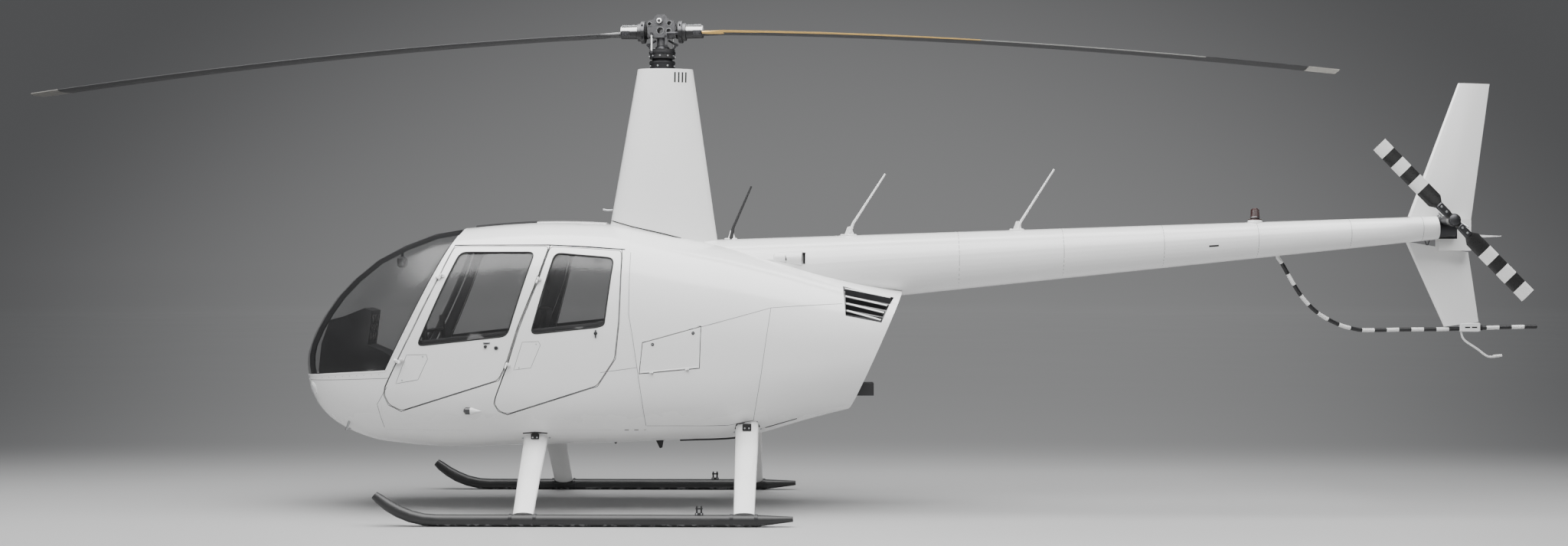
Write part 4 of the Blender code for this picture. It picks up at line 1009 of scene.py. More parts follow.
def door_fittings(word, way):
    grip, lock = SKIN.side(-1.171, 1.198, way), SKIN.side(-1.104, 1.180, way)
    shape = Shape()
    axes = seat_axes(grip[1], way)
    shape.block(grip[0] - axes[1] * 0.016, (0.050, 0.016, 0.005), 0.0018, axes)
    shape.block(grip[0] - axes[1] * 0.014 + grip[1] * 0.004, (0.034, 0.006, 0.006), 0.002, axes, 1)
    shape.turned(grip[0] + axes[0] * 0.008 + axes[1] * 0.010, grip[1], [(0, 0.011), (0.006, 0.011), (0.009, 0.008)],
                 14, 1)
    shape.turned(lock[0] - lock[1] * 0.002, lock[1], [(0, 0.0165), (0.004, 0.0165), (0.0055, 0.015)], 20)
    shape.turned(lock[0], lock[1], [(0, 0.0115), (0.007, 0.0115), (0.0078, 0.009)], 16, 1)
    rear = Shape()
    spot, normal = SKIN.side(-0.413, 1.278, way)
    axes = seat_axes(normal, way)
    rear.block(spot + normal * 0.001, (0.012, 0.060, 0.005), 0.0015, axes)
    rear.block(spot + normal * 0.005, (0.007, 0.052, 0.006), 0.0015, axes, 1)
    rear.turned(spot + normal * 0.002 - axes[1] * 0.004, normal, [(0, 0.0125), (0.010, 0.0125), (0.013, 0.009)], 16, 1)
    for part, studs in ((shape, ((-1.770, 0.952), (-1.620, 1.118))), (rear, ((-0.945, 1.042), (-0.826, 1.206)))):
        for x, z in studs:
            stud, out = SKIN.side(x, z, way)
            part.bolt(stud - out * 0.002, out, 0.005, 0.0032, 12, 0, 0.0035)
    shape.piece("front_handle_" + word, [STEEL, TRIM], "door_front_" + word)
    rear.piece("rear_latch_" + word, [STEEL, TRIM], "door_rear_" + word)


for word, way in SIDES:
    door_fittings(word, way)
print("handles and latches fitted")

# %% [markdown]
# ## Windshield rim
# The two windshield halves meet at a slim dark bow. Their outer edges are held under a white
# rim strip with a row of screws, and a white sill runs round the nose below them. A thin dark
# gasket shows inside both.

# %% Windshield rim
SILL_LINE = [(-2.545, 0.966), (-2.492, 0.970), (-2.322, 0.985), (-2.141, 0.998), (-1.888, 1.014)]
RIM_LINE = [(-1.888, 1.016), (-1.696, 1.403), (-1.533, 1.739), (-1.462, 1.885), (-1.422, 1.965)]


def rim_top(way):
    """The rim over the roof, from the side line to the bow."""
    found = []
    for share in range(0, 11):
        y = way * (0.30 * (1 - share / 10) + 0.012)
        x = -1.400 - 0.005 * share / 10
        found.append(SKIN.top(x, y))
    return [spot for spot in found if spot]


for word, way in SIDES:
    rim = Shape()
    rim.strip(on_side(walk(SILL_LINE), way), 0.013, 0.0018, 0.004)
    rim.strip(on_side(walk(RIM_LINE), way), 0.012, 0.0018, 0.004)
    rim.strip(rim_top(way), 0.014, 0.0018, 0.004)
    rim.piece("windshield_rim_" + word, WHITE)
    dark = Shape()
    dark.strip(on_side(walk([(x - 0.0098, z + 0.004) for x, z in RIM_LINE[:-1]]), way), 0.005, 0.0012)
    dark.strip(on_side(walk([(x, z + 0.0092) for x, z in SILL_LINE[1:]]), way), 0.004, 0.0012)
    dark.piece("windshield_gasket_" + word, RUBBER)
    screws = on_side(pace([(x, z - 0.020) for x, z in SILL_LINE], 0.055), way)
    screws += on_side(pace(RIM_LINE, 0.060), way)
    fasteners("windshield_screws_" + word, screws, STEEL, 0.0034, 0.0022)

# %% [markdown]
# ## Sheet-metal joints and rivets
# Panels meet in fine dark lines, with a row of flat rivets beside each. The lines are given
# as seen from the side, in metres from the mast and above the ground.

# %% Pod joints
POD_JOINTS = [
    [(-0.184, 1.845), (-0.184, 1.411), (-0.157, 1.257), (-0.126, 1.045), (-0.096, 0.831), (-0.074, 0.631)],
    [(-0.068, 0.630), (0.118, 0.629), (0.331, 0.626), (0.492, 0.627), (0.675, 0.662)],
    [(0.801, 1.457), (0.770, 1.255), (0.732, 0.989), (0.675, 0.662)],
    [(0.313, 1.325), (0.552, 1.389), (0.801, 1.457), (1.031, 1.472), (1.299, 1.484)],
    [(-1.880, 0.905), (-1.960, 0.780), (-1.930, 0.610)],
    [(-2.520, 0.936), (-2.200, 0.950), (-1.862, 0.966)],
    [(-0.380, 1.010), (-0.126, 1.045)],
]
DRIP_RAIL = [(-1.434, 1.8955), (-0.757, 1.8965), (-0.500, 1.885), (-0.225, 1.8645)]
RIVET_ROWS = [
    [(-0.150, 1.400), (-0.095, 1.045), (-0.050, 0.660)],
    [(-0.040, 0.652), (0.331, 0.648), (0.480, 0.650), (0.640, 0.680)],
    [(0.822, 1.440), (0.792, 1.255), (0.754, 0.989), (0.697, 0.680)],
    [(0.330, 1.350), (0.552, 1.411), (0.790, 1.476), (1.031, 1.494), (1.280, 1.505)],
    [(1.300, 1.470), (1.300, 1.360), (1.560, 1.330)],
    [(-1.030, 0.665), (-0.402, 0.668), (-0.100, 0.664)],
    [(-1.760, 0.640), (-1.130, 0.660)],
]
for word, way in SIDES:
    joints = Shape()
    for line in POD_JOINTS:
        panel_seam(joints, line, way, loop=False)
    joints.piece("pod_joints_" + word, SEAM)
    drains = Shape()
    drains.strip(on_side(walk(DRIP_RAIL), way), 0.008, 0.003)
    for x, length in ((-0.212, 0.030), (-0.145, 0.030), (-0.085, 0.008)):
        drains.strip(on_side([(x - length / 2, 0.599), (x, 0.599), (x + length / 2, 0.599)], way), 0.007, 0.0012)
    drains.strip(on_side(walk([(0.755, 0.600), (0.850, 0.628), (0.980, 0.664)], 0.02), way), 0.009, 0.003)
    drains.piece("drip_rail_and_slots_" + word, RUBBER)
    rivets = [spot for row in RIVET_ROWS for spot in on_side(pace(row, 0.034), way)]
    fasteners("pod_rivets_" + word, rivets, WHITE, 0.0030, 0.0008)

# %% [markdown]
# ## Cowl access door
# Its lower edge carries a long piano hinge, its upper edge two turn-button latches, and two
# small white clips hold the top corners. Further aft, the grille's dark mouth, painted shade on
# the cowl's skin, has four thin white slats.

# %% Cowl door
COWL_LATCHES = [(-0.018, 1.205), (0.262, 1.283)]
for word, way in SIDES:
    body = "cowl_door_" + word
    hinge = Shape()
    hinge.strip(on_side(walk([(-0.100, 1.0105), (0.298, 1.0465)]), way), 0.007, 0.0035)
    hinge.piece("cowl_hinge_line_" + word, WHITE, body)
    studs = Shape()
    for x, z in COWL_LATCHES:
        spot, normal = SKIN.side(x, z, way)
        studs.turned(spot - normal * 0.001, normal, [(0, 0.0115), (0.003, 0.0115), (0.0045, 0.010)], 18, 1)
        studs.block(spot + normal * 0.0042, (0.013, 0.0024, 0.0024), 0.0006, seat_axes(normal, way))
    studs.piece("cowl_latches_" + word, [STEEL, TRIM], body, slot="black_trim")
    clips = Shape()
    for x, z in ((-0.078, 1.232), (0.306, 1.340)):
        spot, normal = SKIN.side(x, z, way)
        clips.block(spot + normal * 0.002, (0.020, 0.012, 0.006), 0.0015, seat_axes(normal, way))
    clips.piece("cowl_clips_" + word, WHITE)
    slats = Shape()
    for drop in (0.028, 0.0815, 0.131, 0.181):
        line = [(1.318 + 0.08 * drop, 1.6165 - drop), (1.656 - 0.477 * drop, 1.5507 - drop)]
        slats.strip(on_side(walk(line), way), 0.012, 0.005)
    slats.piece("grille_slats_" + word, WHITE)
print("cowl doors and grilles fitted")

# %% [markdown]
# ## Nose, roof and belly
# Landing lamps sit behind round bezels in the nose. A dark strip and a raised white cap run
# along the roof's middle. The belly carries a drain, a blade aerial and a rubbing strip.

# %% Nose, roof and belly
def landing_lamp(shape, x, z, way, radius):
    spot, normal = SKIN.side(x, z, way)
    shape.turned(spot - normal * 0.004, normal, [(0, radius), (0.008, radius), (0.011, 0.82 * radius)], 28)
    shape.turned(spot + normal * 0.0062, normal, [(0, 0.80 * radius), (0.0052, 0.8 * radius),
                                                  (0.0072, 0.55 * radius), (0.0082, 0.2 * radius)], 28, 1)


lamps = Shape()
for way in (-1, 1):
    landing_lamp(lamps, -2.470, 0.880, way, 0.046)
    for x, z in ((-2.520, 0.935), (-2.505, 0.870), (-2.478, 0.815)):
        spot, normal = SKIN.side(x, z, way)
        lamps.turned(spot - normal * 0.001, normal, [(0, 0.006), (0.004, 0.006), (0.0052, 0.004)], 12, 2)
LAMP_GLASS = Look("lamp_glass", (0.75, 0.76, 0.78), 0.1, coat_weight=1.0)
ribs = (LAMP_GLASS.split()[1] * 900).math("SINE")
LAMP_GLASS.set(base_color=LAMP_GLASS.mix(LAMP_GLASS.noise(40.0), (0.45, 0.46, 0.48), (0.9, 0.9, 0.9)))
LAMP_GLASS.set(roughness=LAMP_GLASS.noise(30.0) * 0.1 + 0.05)
LAMP_GLASS.bump(ribs, 0.0006)
lamps.piece("landing_lamps", [WHITE, LAMP_GLASS.material, STEEL])


def roof_run(x_from, x_to, y=0.0):
    count = max(2, int((x_to - x_from) / 0.03))
    return [SKIN.top(x_from + (x_to - x_from) * i / count, y) for i in range(count + 1)]


for name, front, back, width, height, look in (("roof_strip", -1.345, -0.900, 0.110, 0.014, TRIM),
                                               ("roof_cap", -0.898, -0.400, 0.180, 0.010, WHITE)):
    roof = Shape()
    roof.strip(roof_run(front, back), width, height, 0.004)
    roof.piece(name, look)
fasteners("roof_screws", [spot for y in (-0.078, 0.078) for spot in roof_run(-0.88, -0.42, y)[::2]],
          STEEL, 0.0032, 0.014)

belly = Shape()
spot, normal = SKIN.below(-0.340, 0.0)
belly.turned(spot - normal * 0.002, normal, [(0, 0.016), (0.008, 0.014), (0.020, 0.006), (0.023, 0.003)], 16)
belly.piece("belly_drain", TRIM)
fin = Shape()
for half, outline in ((0.020, ((-0.085, 0.497), (0.028, 0.499), (0.024, 0.484), (-0.081, 0.482))),
                      (0.005, ((-0.050, 0.490), (0.010, 0.490), (0.000, 0.430), (-0.018, 0.424)))):
    fin.rings([[at(x, y, z) for x, z in outline] for y in (-half, half)])
fin.strip([SKIN.below(0.13 + 0.03 * i, 0.0) for i in range(15)], 0.060, 0.018, 0.002)
fin.piece("belly_aerial", TRIM)
print("nose, roof and belly done")

# %% [markdown]
# ## Mast fairing
# The tall fairing has four cooling slots near its top, a dark gasket where it meets the pod
# and rows of flat rivets on each flank.

# %% Mast fairing
for word, way in SIDES:
    slots = Shape()
    for x in (0.097, 0.124, 0.150, 0.174):
        slots.strip(on_side(walk([(x, 3.074), (x + 0.001, 3.150)], 0.02), way, FAIRING), 0.012, 0.0010)
    gasket = [(-0.368, 2.078), (-0.2, 2.030), (0.0, 1.985), (0.2, 1.935), (0.36, 1.890)]
    slots.strip(on_side(walk(gasket, 0.02), way, FAIRING), 0.008, 0.004)
    slots.piece("fairing_slots_" + word, RUBBER)
    rows = [[(0.080, 2.00), (0.110, 2.600), (0.082, 3.05)], [(-0.26, 2.585), (0.28, 2.585)],
            [(-0.16, 3.150), (0.07, 3.150)]]
    fasteners("fairing_rivets_" + word, [s for row in rows for s in on_side(pace(row, 0.040), way, FAIRING)],
              WHITE, 0.0028, 0.0010)
print("fairing dressed")
# %% [markdown]
# ## Rotor head
# The head is a small world of turned parts: the teetering plate with its round holes, rubber
# boots, bolted blade grips, two pitch links, and the swashplate with its scissor arms. The
# head is parked a few degrees off the middle line, so its parts are placed in its own axes.

# %% Rotor head
HUB_OUT = Vector((math.cos(PARKED_TURN), -math.sin(PARKED_TURN), 0))
HUB_SIDE = Vector((math.sin(PARKED_TURN), math.cos(PARKED_TURN), 0))
HUB_AXES = (HUB_OUT, HUB_SIDE, UP)
HUB_BORES = [(-0.084, 3.500, 0.013), (0.060, 3.504, 0.016), (-0.006, 3.451, 0.024), (0.056, 3.448, 0.017)]
HUB_HALF, GRIP_AXIS, SIDE_PLATE, CUFF_TOP = 0.055, 3.445, 3.436, 3.495


def hub_at(out, side, height):
    """A place on the head: metres out along the blades, across them, and up."""
    return at(0, 0, height) + HUB_OUT * out + HUB_SIDE * side


def ring(shape, centre, axis, inner, outer, thick, look=0, sides=20):
    """A flat washer, made as a tube with a squarish section."""
    side, up, ahead = axes_for(axis)
    rings = []
    for c, s in around(sides):
        way = side * c + up * s
        rings.append([Vector(centre) + way * r + ahead * h for r, h in
                      ((inner, 0), (outer, 0), (outer, thick * 0.7), (outer - 0.15 * (outer - inner), thick),
                       (inner, thick))])
    shape.rings(rings, look, loop=True)


head = Shape()
for face in (-1, 1):
    for out, height, radius in HUB_BORES:
        ring(head, hub_at(out, face * (HUB_HALF - 0.0005), height), HUB_SIDE * face, radius, radius + 0.004, 0.003)
    centre = hub_at(-0.011, face * (HUB_HALF + 0.0145), 3.522)
    head.turned(centre, HUB_SIDE * face, [(0, 0.019), (0.004, 0.019), (0.006, 0.015)], 24, 2)
    head.turned(centre + HUB_SIDE * face * 0.005, HUB_SIDE * face, [(0, 0.011), (0.006, 0.011), (0.007, 0.009)],
                6, 1)
    for way in (-1, 1):
        for share in (-1, 1):
            spot = hub_at(way * 0.137, face * 0.060, GRIP_AXIS + share * 0.045)
            head.bolt(spot, HUB_SIDE * face + UP * (0.3 * share), 0.007, 0.026)
head.piece("head_bushes", [STEEL, DARK_METAL, WHITE], "main_rotor")

# %% Blade grips
for word, way in (("aft", 1), ("forward", -1)):
    out = HUB_OUT * way
    boot = Shape()
    folds = [(0.104 + 0.0046 * i, 0.047 + (0.004 if i % 2 else 0.0)) for i in range(5)]
    boot.turned(hub_at(0, 0, GRIP_AXIS), out, folds, 28)
    boot.piece("grip_boot_" + word, RUBBER, "main_rotor")
    cuff = Shape()
    cuff.block(hub_at(way * 0.235, 0, 3.4905), (0.118, 0.062, 0.010), 0.003, HUB_AXES)
    for x in (0.196, 0.232, 0.268):
        for y in (-0.018, 0.018):
            cuff.bolt(hub_at(way * x, y, CUFF_TOP), UP, 0.0065, 0.006, top=0.005)
    for side in (-1, 1):
        cuff.block(hub_at(way * 0.262, side * 0.046, SIDE_PLATE), (0.060, 0.008, 0.034), 0.002, HUB_AXES, 1)
        for x in (0.245, 0.279):
            cuff.bolt(hub_at(way * x, side * 0.049, SIDE_PLATE), HUB_SIDE * side, 0.0075, 0.006)
    cuff.piece("blade_cuff_" + word, [STEEL, DARK_METAL], "main_rotor")
    horn = Shape()
    arm = ((0.137, -0.060, 3.430), (0.110, -0.080, 3.428), (0.040, -0.070, 3.430))
    horn.tube([hub_at(way * along, way * across, z) for along, across, z in arm], [0.011, 0.010, 0.009], 10)
    horn.piece("pitch_horn_" + word, DARK_METAL, "main_rotor")

# %% Pitch links and swashplate
LINK_LOW, LINK_HIGH, PLATE_TOP, GUIDE_TOP = 3.290, 3.432, 3.318, 3.2150
links = Shape()
for side in (-1, 1):
    post, top = [hub_at(0.040 * side, -0.070 * side, z) for z in (3.300, 3.430)]
    for share in (0.22, 0.80):
        links.bolt(post.lerp(top, share), UP, 0.0140, 0.010)
    low, high = [hub_at(-0.066 * side, -0.074 * side, z) for z in (LINK_LOW, LINK_HIGH)]
    links.tube([low, high], 0.0058, 12)
    for spot in (low + UP * 0.004, high - UP * 0.004):
        links.bolt(spot - HUB_SIDE * 0.009, HUB_SIDE, 0.0100, 0.018, 14)
    links.bolt(high + HUB_SIDE * side * 0.030 - UP * 0.004, HUB_SIDE * -side, 0.006, 0.034, 10)
links.piece("pitch_links", [WHITE, DARK_METAL], "main_rotor", slot="bare_steel")

plate = Shape()
middle = at(0, 0, 0)
plate.turned(middle + UP * 3.2845, UP, [(0, 0.0930), (0.003, 0.0965), (0.014, 0.0965), (0.017, 0.0930)], 36)
for c, s in around(10, 0.2):
    way = Vector((c, s, 0))
    plate.bolt(middle + UP * 3.3015 + way * 0.078, UP, 0.007, 0.022, top=0.005)
    plate.bolt(middle + UP * 3.268 + way * 0.089, way, 0.006, 0.008, top=0.0045)
plate.tube([middle + UP * PLATE_TOP, middle + UP * 3.340], [0.062, 0.044], 24, 2)
for side in (-1, 1):
    scissor = ((0.078, PLATE_TOP), (0.104, 3.352), (0.045, 3.385))
    a, b, c = [middle + HUB_OUT * (out * side) + UP * z for out, z in scissor]
    plate.tube([a, b], 0.0075, 10, 2)
    plate.tube([b, c], 0.0075, 10, 2)
    plate.bolt(b - HUB_SIDE * 0.012, HUB_SIDE, 0.011, 0.024, 14, 2)
plate.piece("swashplate_ring", [CAST, STEEL, DARK_METAL], "main_rotor")
base = Shape()
base.turned(middle + UP * GUIDE_TOP, UP, [(0, 0.0930), (0.002, 0.0950), (0.008, 0.0950), (0.010, 0.0930)], 36)
for c, s in around(8, 0.5):
    way = Vector((c, s, 0))
    base.bolt(middle + UP * 3.196 + way * 0.089, way, 0.0065, 0.008, top=0.005)
base.piece("swashplate_guide", [CAST, STEEL])
print("rotor head dressed")

# %% [markdown]
# ## Tail cone
# The cone is rolled from sheets, riveted round each frame and along each flank. The beacon
# stands on a white base near its end, and a wire loop below takes the tie-down rope.

# %% Tail cone
CONE_FRONT, CONE_END = (0.300, 1.6610, 0.2755), (5.597, 2.0240, 0.0835)


def cone_at(x):
    """Centre height and radius of the tail cone at a station."""
    share = (x - CONE_FRONT[0]) / (CONE_END[0] - CONE_FRONT[0])
    return [a + share * (b - a) for a, b in zip(CONE_FRONT[1:], CONE_END[1:])]


def cone_spot(x, turn):
    """A point on the cone and its outward direction; turn 0 is the top, 90 the port side."""
    centre, radius = cone_at(x)
    way = Vector((0, -math.sin(math.radians(turn)), math.cos(math.radians(turn))))
    spot = at(x, 0, centre) + way * (radius * 0.9985)
    return spot, (way + Vector((0.036, 0, 0))).normalized()


CONE_FRAMES = [1.275, 2.140, 2.890, 3.610, 4.290, 4.960, 5.480]
seams, heads = Shape(), []
for x in CONE_FRAMES:
    if x > 2.0:
        hoop = [cone_spot(x, turn) for turn in range(0, 360, 10)]
        seams.strip(hoop, 0.0026, 0.0005, 0.002, loop=True)
    for shift in (-0.012, 0.014):
        step = 9 if x < 3.5 else 12
        heads += [cone_spot(x + shift, turn) for turn in range(0, 360, step) if x > 2.0 or abs(turn - 180) > 62]
for turn in (38, 322, 142, 218):
    start = 1.42 if abs(turn - 180) > 90 else 1.80
    heads += [cone_spot(start + 0.042 * i, turn) for i in range(int((5.52 - start) / 0.042))]
seams.piece("cone_seams", SEAM)
fasteners("cone_rivets", heads, WHITE, 0.0028, 0.0008)

slot = Shape()
for turn in (98, 262):
    slot.strip([cone_spot(3.930 + 0.01 * i, turn) for i in range(8)], 0.012, 0.0010, 0.002)
slot.piece("cone_slots", RUBBER)

loop = Shape()
centre, radius = cone_at(5.530)
foot = at(5.530, 0, centre - radius)
wire = ((-0.018, 0.004), (-0.004, -0.034), (0.004, -0.034), (0.018, 0.004))
loop.tube([foot + Vector((x, 0, z)) for x, z in wire], 0.0036, 8)
loop.piece("tie_down_loop", DARK_METAL)

# %% Beacon and aerial feet
lamp = Shape()
centre, radius = cone_at(4.290)
top = at(4.290, 0, centre + radius)
lamp.turned(top - UP * 0.012, UP, [(0, 0.054), (0.020, 0.052), (0.031, 0.044), (0.0335, 0.038)], 28)
ring(lamp, top + UP * 0.0335, UP, 0.0325, 0.0375, 0.005, 1, 28)
lamp.piece("beacon_base", [WHITE, STEEL])
feet = Shape()
for x, size in ((0.498, (0.092, 0.030, 0.012)), (1.352, (0.120, 0.040, 0.012)), (2.570, (0.105, 0.038, 0.012))):
    centre, radius = cone_at(x)
    low = at(x, 0, centre + radius - 0.002)
    feet.block(low + UP * 0.004, size, 0.004)
    x_half = 0.30 * size[0]
    feet.rings([[low + Vector((a * x_half + 0.006, b * 0.010 * s, h)) for a, b in
                 ((-s, -1), (s, -1), (s, 1), (-s, 1))] for s, h in ((1.0, 0.006), (0.62, 0.040), (0.36, 0.066))])
    for a in (-0.4, 0.4):
        feet.bolt(low + Vector((a * size[0], 0, 0.009)), UP, 0.005, 0.004, 8, top=0.0035)
feet.piece("aerial_feet", [WHITE, STEEL])
print("tail cone dressed, rivets", len(heads))

# %% [markdown]
# ## Fins, stabiliser and tail gearbox
# Both fins are riveted along their edges. The lower fin carries the guard in a white clamp,
# and the gearbox and the tail rotor's hub have rings of bolts.

# %% Fins
UPPER_FIN = [(5.426, 2.109), (5.869, 1.990), (6.014, 3.071), (5.788, 3.077)]
LOWER_FIN = [(5.408, 1.926), (5.862, 1.849), (5.937, 1.343), (5.687, 1.308)]
for name, outline in (("upper_fin", UPPER_FIN), ("lower_fin", LOWER_FIN)):
    surface = Surface(NODES[name].data)
    for word, way in SIDES:
        rows = pace(inset(outline, 0.045), 0.040, loop=True)
        spots = [s for s in on_side(rows, way, surface) if abs(s[1].y) > 0.6]
        fasteners(name + "_rivets_" + word, spots, WHITE, 0.0028, 0.0009)
clamp = Shape()
clamp.block(at(5.872, 0.110, 1.303), (0.148, 0.046, 0.064), 0.006)
for x in (5.852, 5.902):
    for y in (0.0865, 0.1335):
        clamp.block(at(x, y, 1.303), (0.038, 0.003, 0.010), 0.001, look=1)
clamp.bolt(at(5.952, 0.110, 1.2985), (1, 0, 0), 0.0185, 0.012, 20)
clamp.piece("guard_clamp", [WHITE, RUBBER])
box_parts = Shape()
for c, s in around(8):
    spot = Vector((TAIL_HUB[0], -0.02, TAIL_HUB[2])) + Vector((c, 0, s)) * 0.05
    box_parts.bolt(spot, (0, -1, 0), 0.007, 0.012, look=0)
box_parts.piece("gearbox_bolts", STEEL)

# %% Tail rotor head
hub = Shape()
middle = Vector(TAIL_HUB)
along = Vector((math.cos(TAIL_TURN), 0, -math.sin(TAIL_TURN)))
across = Vector((math.sin(TAIL_TURN), 0, math.cos(TAIL_TURN)))
port = Vector((0, -1, 0))
hub.turned(middle + port * 0.020, port, [(0, 0.040), (0.008, 0.040), (0.014, 0.030), (0.020, 0.018)], 24)
for c, s in around(6):
    hub.bolt(middle + port * 0.026 + (along * c + across * s) * 0.030, port, 0.005, 0.006)
for way in (-1, 1):
    out = along * way
    hub.block(middle + out * 0.105 + port * 0.004, (0.100, 0.050, 0.034), 0.006, (out, across, port))
    for r in (0.080, 0.130):
        hub.bolt(middle + out * r + port * 0.020, port, 0.009, 0.007, top=0.007)
    hub.tube([middle + out * 0.062 + across * 0.034 * way - port * 0.035,
              middle + out * 0.110 + across * 0.040 * way + port * 0.002], 0.006, 10, 1)
hub.piece("tail_rotor_head", [DARK_METAL, STEEL], "tail_rotor")
print("tail rotor head dressed")

# %% [markdown]
# ## Striped tail guard
# The guard's black and white bands are equal lengths of tube, so they are cut by length along
# the tube's bent path rather than by a flat pattern. Its skid rod is painted white.

# %% Tail guard
GUARD_PATH = [(4.450, 0, 1.850), (4.455, 0, 1.810), (4.476, 0, 1.782), (4.522, 0.005, 1.704),
              (4.572, 0.010, 1.617), (4.631, 0.020, 1.530), (4.696, 0.030, 1.458),
              (4.768, 0.040, 1.399), (4.856, 0.055, 1.349), (4.942, 0.065, 1.313),
              (5.028, 0.080, 1.292), (5.115, 0.090, 1.282), (5.406, 0.108, 1.286),
              (5.750, 0.110, 1.290), (6.078, 0.110, 1.302), (6.358, 0.110, 1.308)]
GUARD_RADIUS, GUARD_BAND = 0.0145, 0.092
TAIL_SKID = [(5.812, 1.285), (5.832, 1.215), (5.930, 1.145), (6.011, 1.090), (6.106, 1.097)]


def smooth_line(path, steps=6):
    """A curve through every point, as many short lines."""
    points = [Vector(p) for p in path]
    result = []
    for i in range(len(points) - 1):
        a, b, c, d = points[max(i - 1, 0)], points[i], points[i + 1], points[min(i + 2, len(points) - 1)]
        for s in range(steps):
            t = s / steps
            result.append(0.5 * ((2 * b) + (c - a) * t + (2 * a - 5 * b + 4 * c - d) * t * t
                                 + (3 * b - a - 3 * c + d) * t ** 3))
    return result + [points[-1]]


line = smooth_line([at(*place) for place in GUARD_PATH])
guard, even = Shape(), [line[0]]
run = sum((b - a).length for a, b in zip(line, line[1:]))
steps = round(run / GUARD_BAND)
band = run / steps
travelled, target = 0.0, band / 4
for a, b in zip(line, line[1:]):
    span = (b - a).length
    while target <= travelled + span + 1e-9:
        even.append(a.lerp(b, (target - travelled) / span))
        target += band / 4
    travelled += span
for k in range(steps):
    guard.tube(even[4 * k:4 * k + 5], GUARD_RADIUS, 16, (steps - 1 - k) % 2)
guard.turned(even[-1], even[-1] - even[-2], [(-0.012, 0.0152), (-0.004, 0.0152), (0.0, 0.011)], 16)
guard.tube(smooth_line([at(x, 0.110, z) for x, z in TAIL_SKID], 8), 0.008, 12, 1)
guard.tube([at(TAIL_SKID[-1][0] - 0.060, 0.110, 1.0925), at(TAIL_SKID[-1][0], 0.110, 1.098)], 0.0095, 12, 1)
made = guard.piece("striped_guard", [BLACK, GUARD_WHITE])
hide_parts("tail_guard")
print("guard bands", steps, "of", round(band, 4), "m")

# %% [markdown]
# ## Landing gear
# Each skid has a bolted ground-handling fitting and saddles where the legs sit. The legs
# enter the belly through dark slots, each with a bracket and its bolts.

# %% Landing gear
TRACK_HALF, SKID_RADIUS = 1.060, 0.041
BOX_HALF = 1.1000
LEGS = ((-0.856, 0.140), (0.630, 0.1415))
BRACKETS = (
    # station, out, height, size, and the belly slot's rim as seen from the side
    (-0.856, 0.484, 0.553, (0.056, 0.026, 0.036), [(-0.942, 0.575), (-0.856, 0.583), (-0.770, 0.575)]),
    (0.630, 0.449, 0.616, (0.062, 0.034, 0.048), [(0.546, 0.600), (0.560, 0.640), (0.700, 0.650), (0.714, 0.610)]),
)
for word, way in SIDES:
    gear = Shape()
    y = way * TRACK_HALF
    for x, chord in LEGS:
        for end in (-1, 1):
            spot = at(x + end * (chord / 2 + 0.012), y, SKID_RADIUS)
            gear.turned(spot - Vector((0.011, 0, 0)), (1, 0, 0), [(0, 0.0428), (0.001, 0.0440), (0.021, 0.0440),
                                                              (0.022, 0.0428)], 24, 1)
            gear.bolt(spot + UP * 0.042, UP, 0.007, 0.006, look=2)
    x = 0.330 + MAST_X
    gear.block((x, y, 0.084), (0.056, 0.022, 0.020), 0.003, look=1)
    for end in (-1, 1):
        gear.block((x + end * 0.015, y, 0.112), (0.012, 0.018, 0.058), 0.003, look=1)
        gear.bolt((x + end * 0.016, y - way * 0.013, 0.087), (0, way, 0), 0.006, 0.026, look=2)
    gear.bolt((x - 0.024, y, 0.122), (1, 0, 0), 0.006, 0.048, 10)
    gear.points = [Vector((p.x, max(-BOX_HALF, min(BOX_HALF, p.y)), max(p.z, 0.0))) for p in gear.points]
    gear.piece("skid_fittings_" + word, [SKID_PAINT, BLACK, STEEL])
    slots = Shape()
    for station, across, z, size, rim in BRACKETS:
        for end in (-1, 1):
            found = SKIN.hit(at(station + end * 0.094, way * 0.70, 0.43), (0, -way * 0.93, 0.37))
            if found:
                slots.bolt(found[0] - found[1] * 0.002, found[1], 0.0075, 0.006, top=0.006)
        slots.strip(on_side(walk(rim, 0.02), way), 0.010, 0.004)
        middle = at(station, way * across, z)
        slots.block(middle, size, 0.003)
        for end in (-1, 1):
            spot = middle + Vector((end * 0.015, way * size[1] / 2 - way * 0.001, -0.006))
            slots.bolt(spot, (0, way, 0), 0.0065, 0.005, top=0.005)
    slots.piece("leg_slots_" + word, [RUBBER, STEEL])
print("landing gear dressed")
# %% [markdown]
# ## Seat cushions
# A seat pad is foam under leather: it crowns in the middle and its sides pull in between the
# corners. Each pad starts a little smaller than its place, is remeshed into even cloth, and
# Blender's Cloth blows it up. A cap on each point's travel keeps it in its place.

# %% Seat cushions
SEAT_Y = 0.300
SEATS = [
    # name, half width, front, back, cushion's low and high, outline of the back rest
    ("front_seat", 0.20, -1.44, -0.98, 0.8403, 0.925, [(-1.055, 0.9255), (-0.975, 0.9255), (-0.855, 1.460),
                                                       (-0.925, 1.475)]),
    ("rear_seat", 0.25, -0.70, -0.33, 0.8603, 0.945, [(-0.345, 0.9455), (-0.235, 0.9455), (-0.268, 1.420),
                                                      (-0.345, 1.440)]),
]
PAD_INSET, PAD_TRAVEL, PAD_VOXEL = 0.012, 0.0115, 0.0085
PAD_PRESSURE, PAD_FRAMES = 4.0, 20


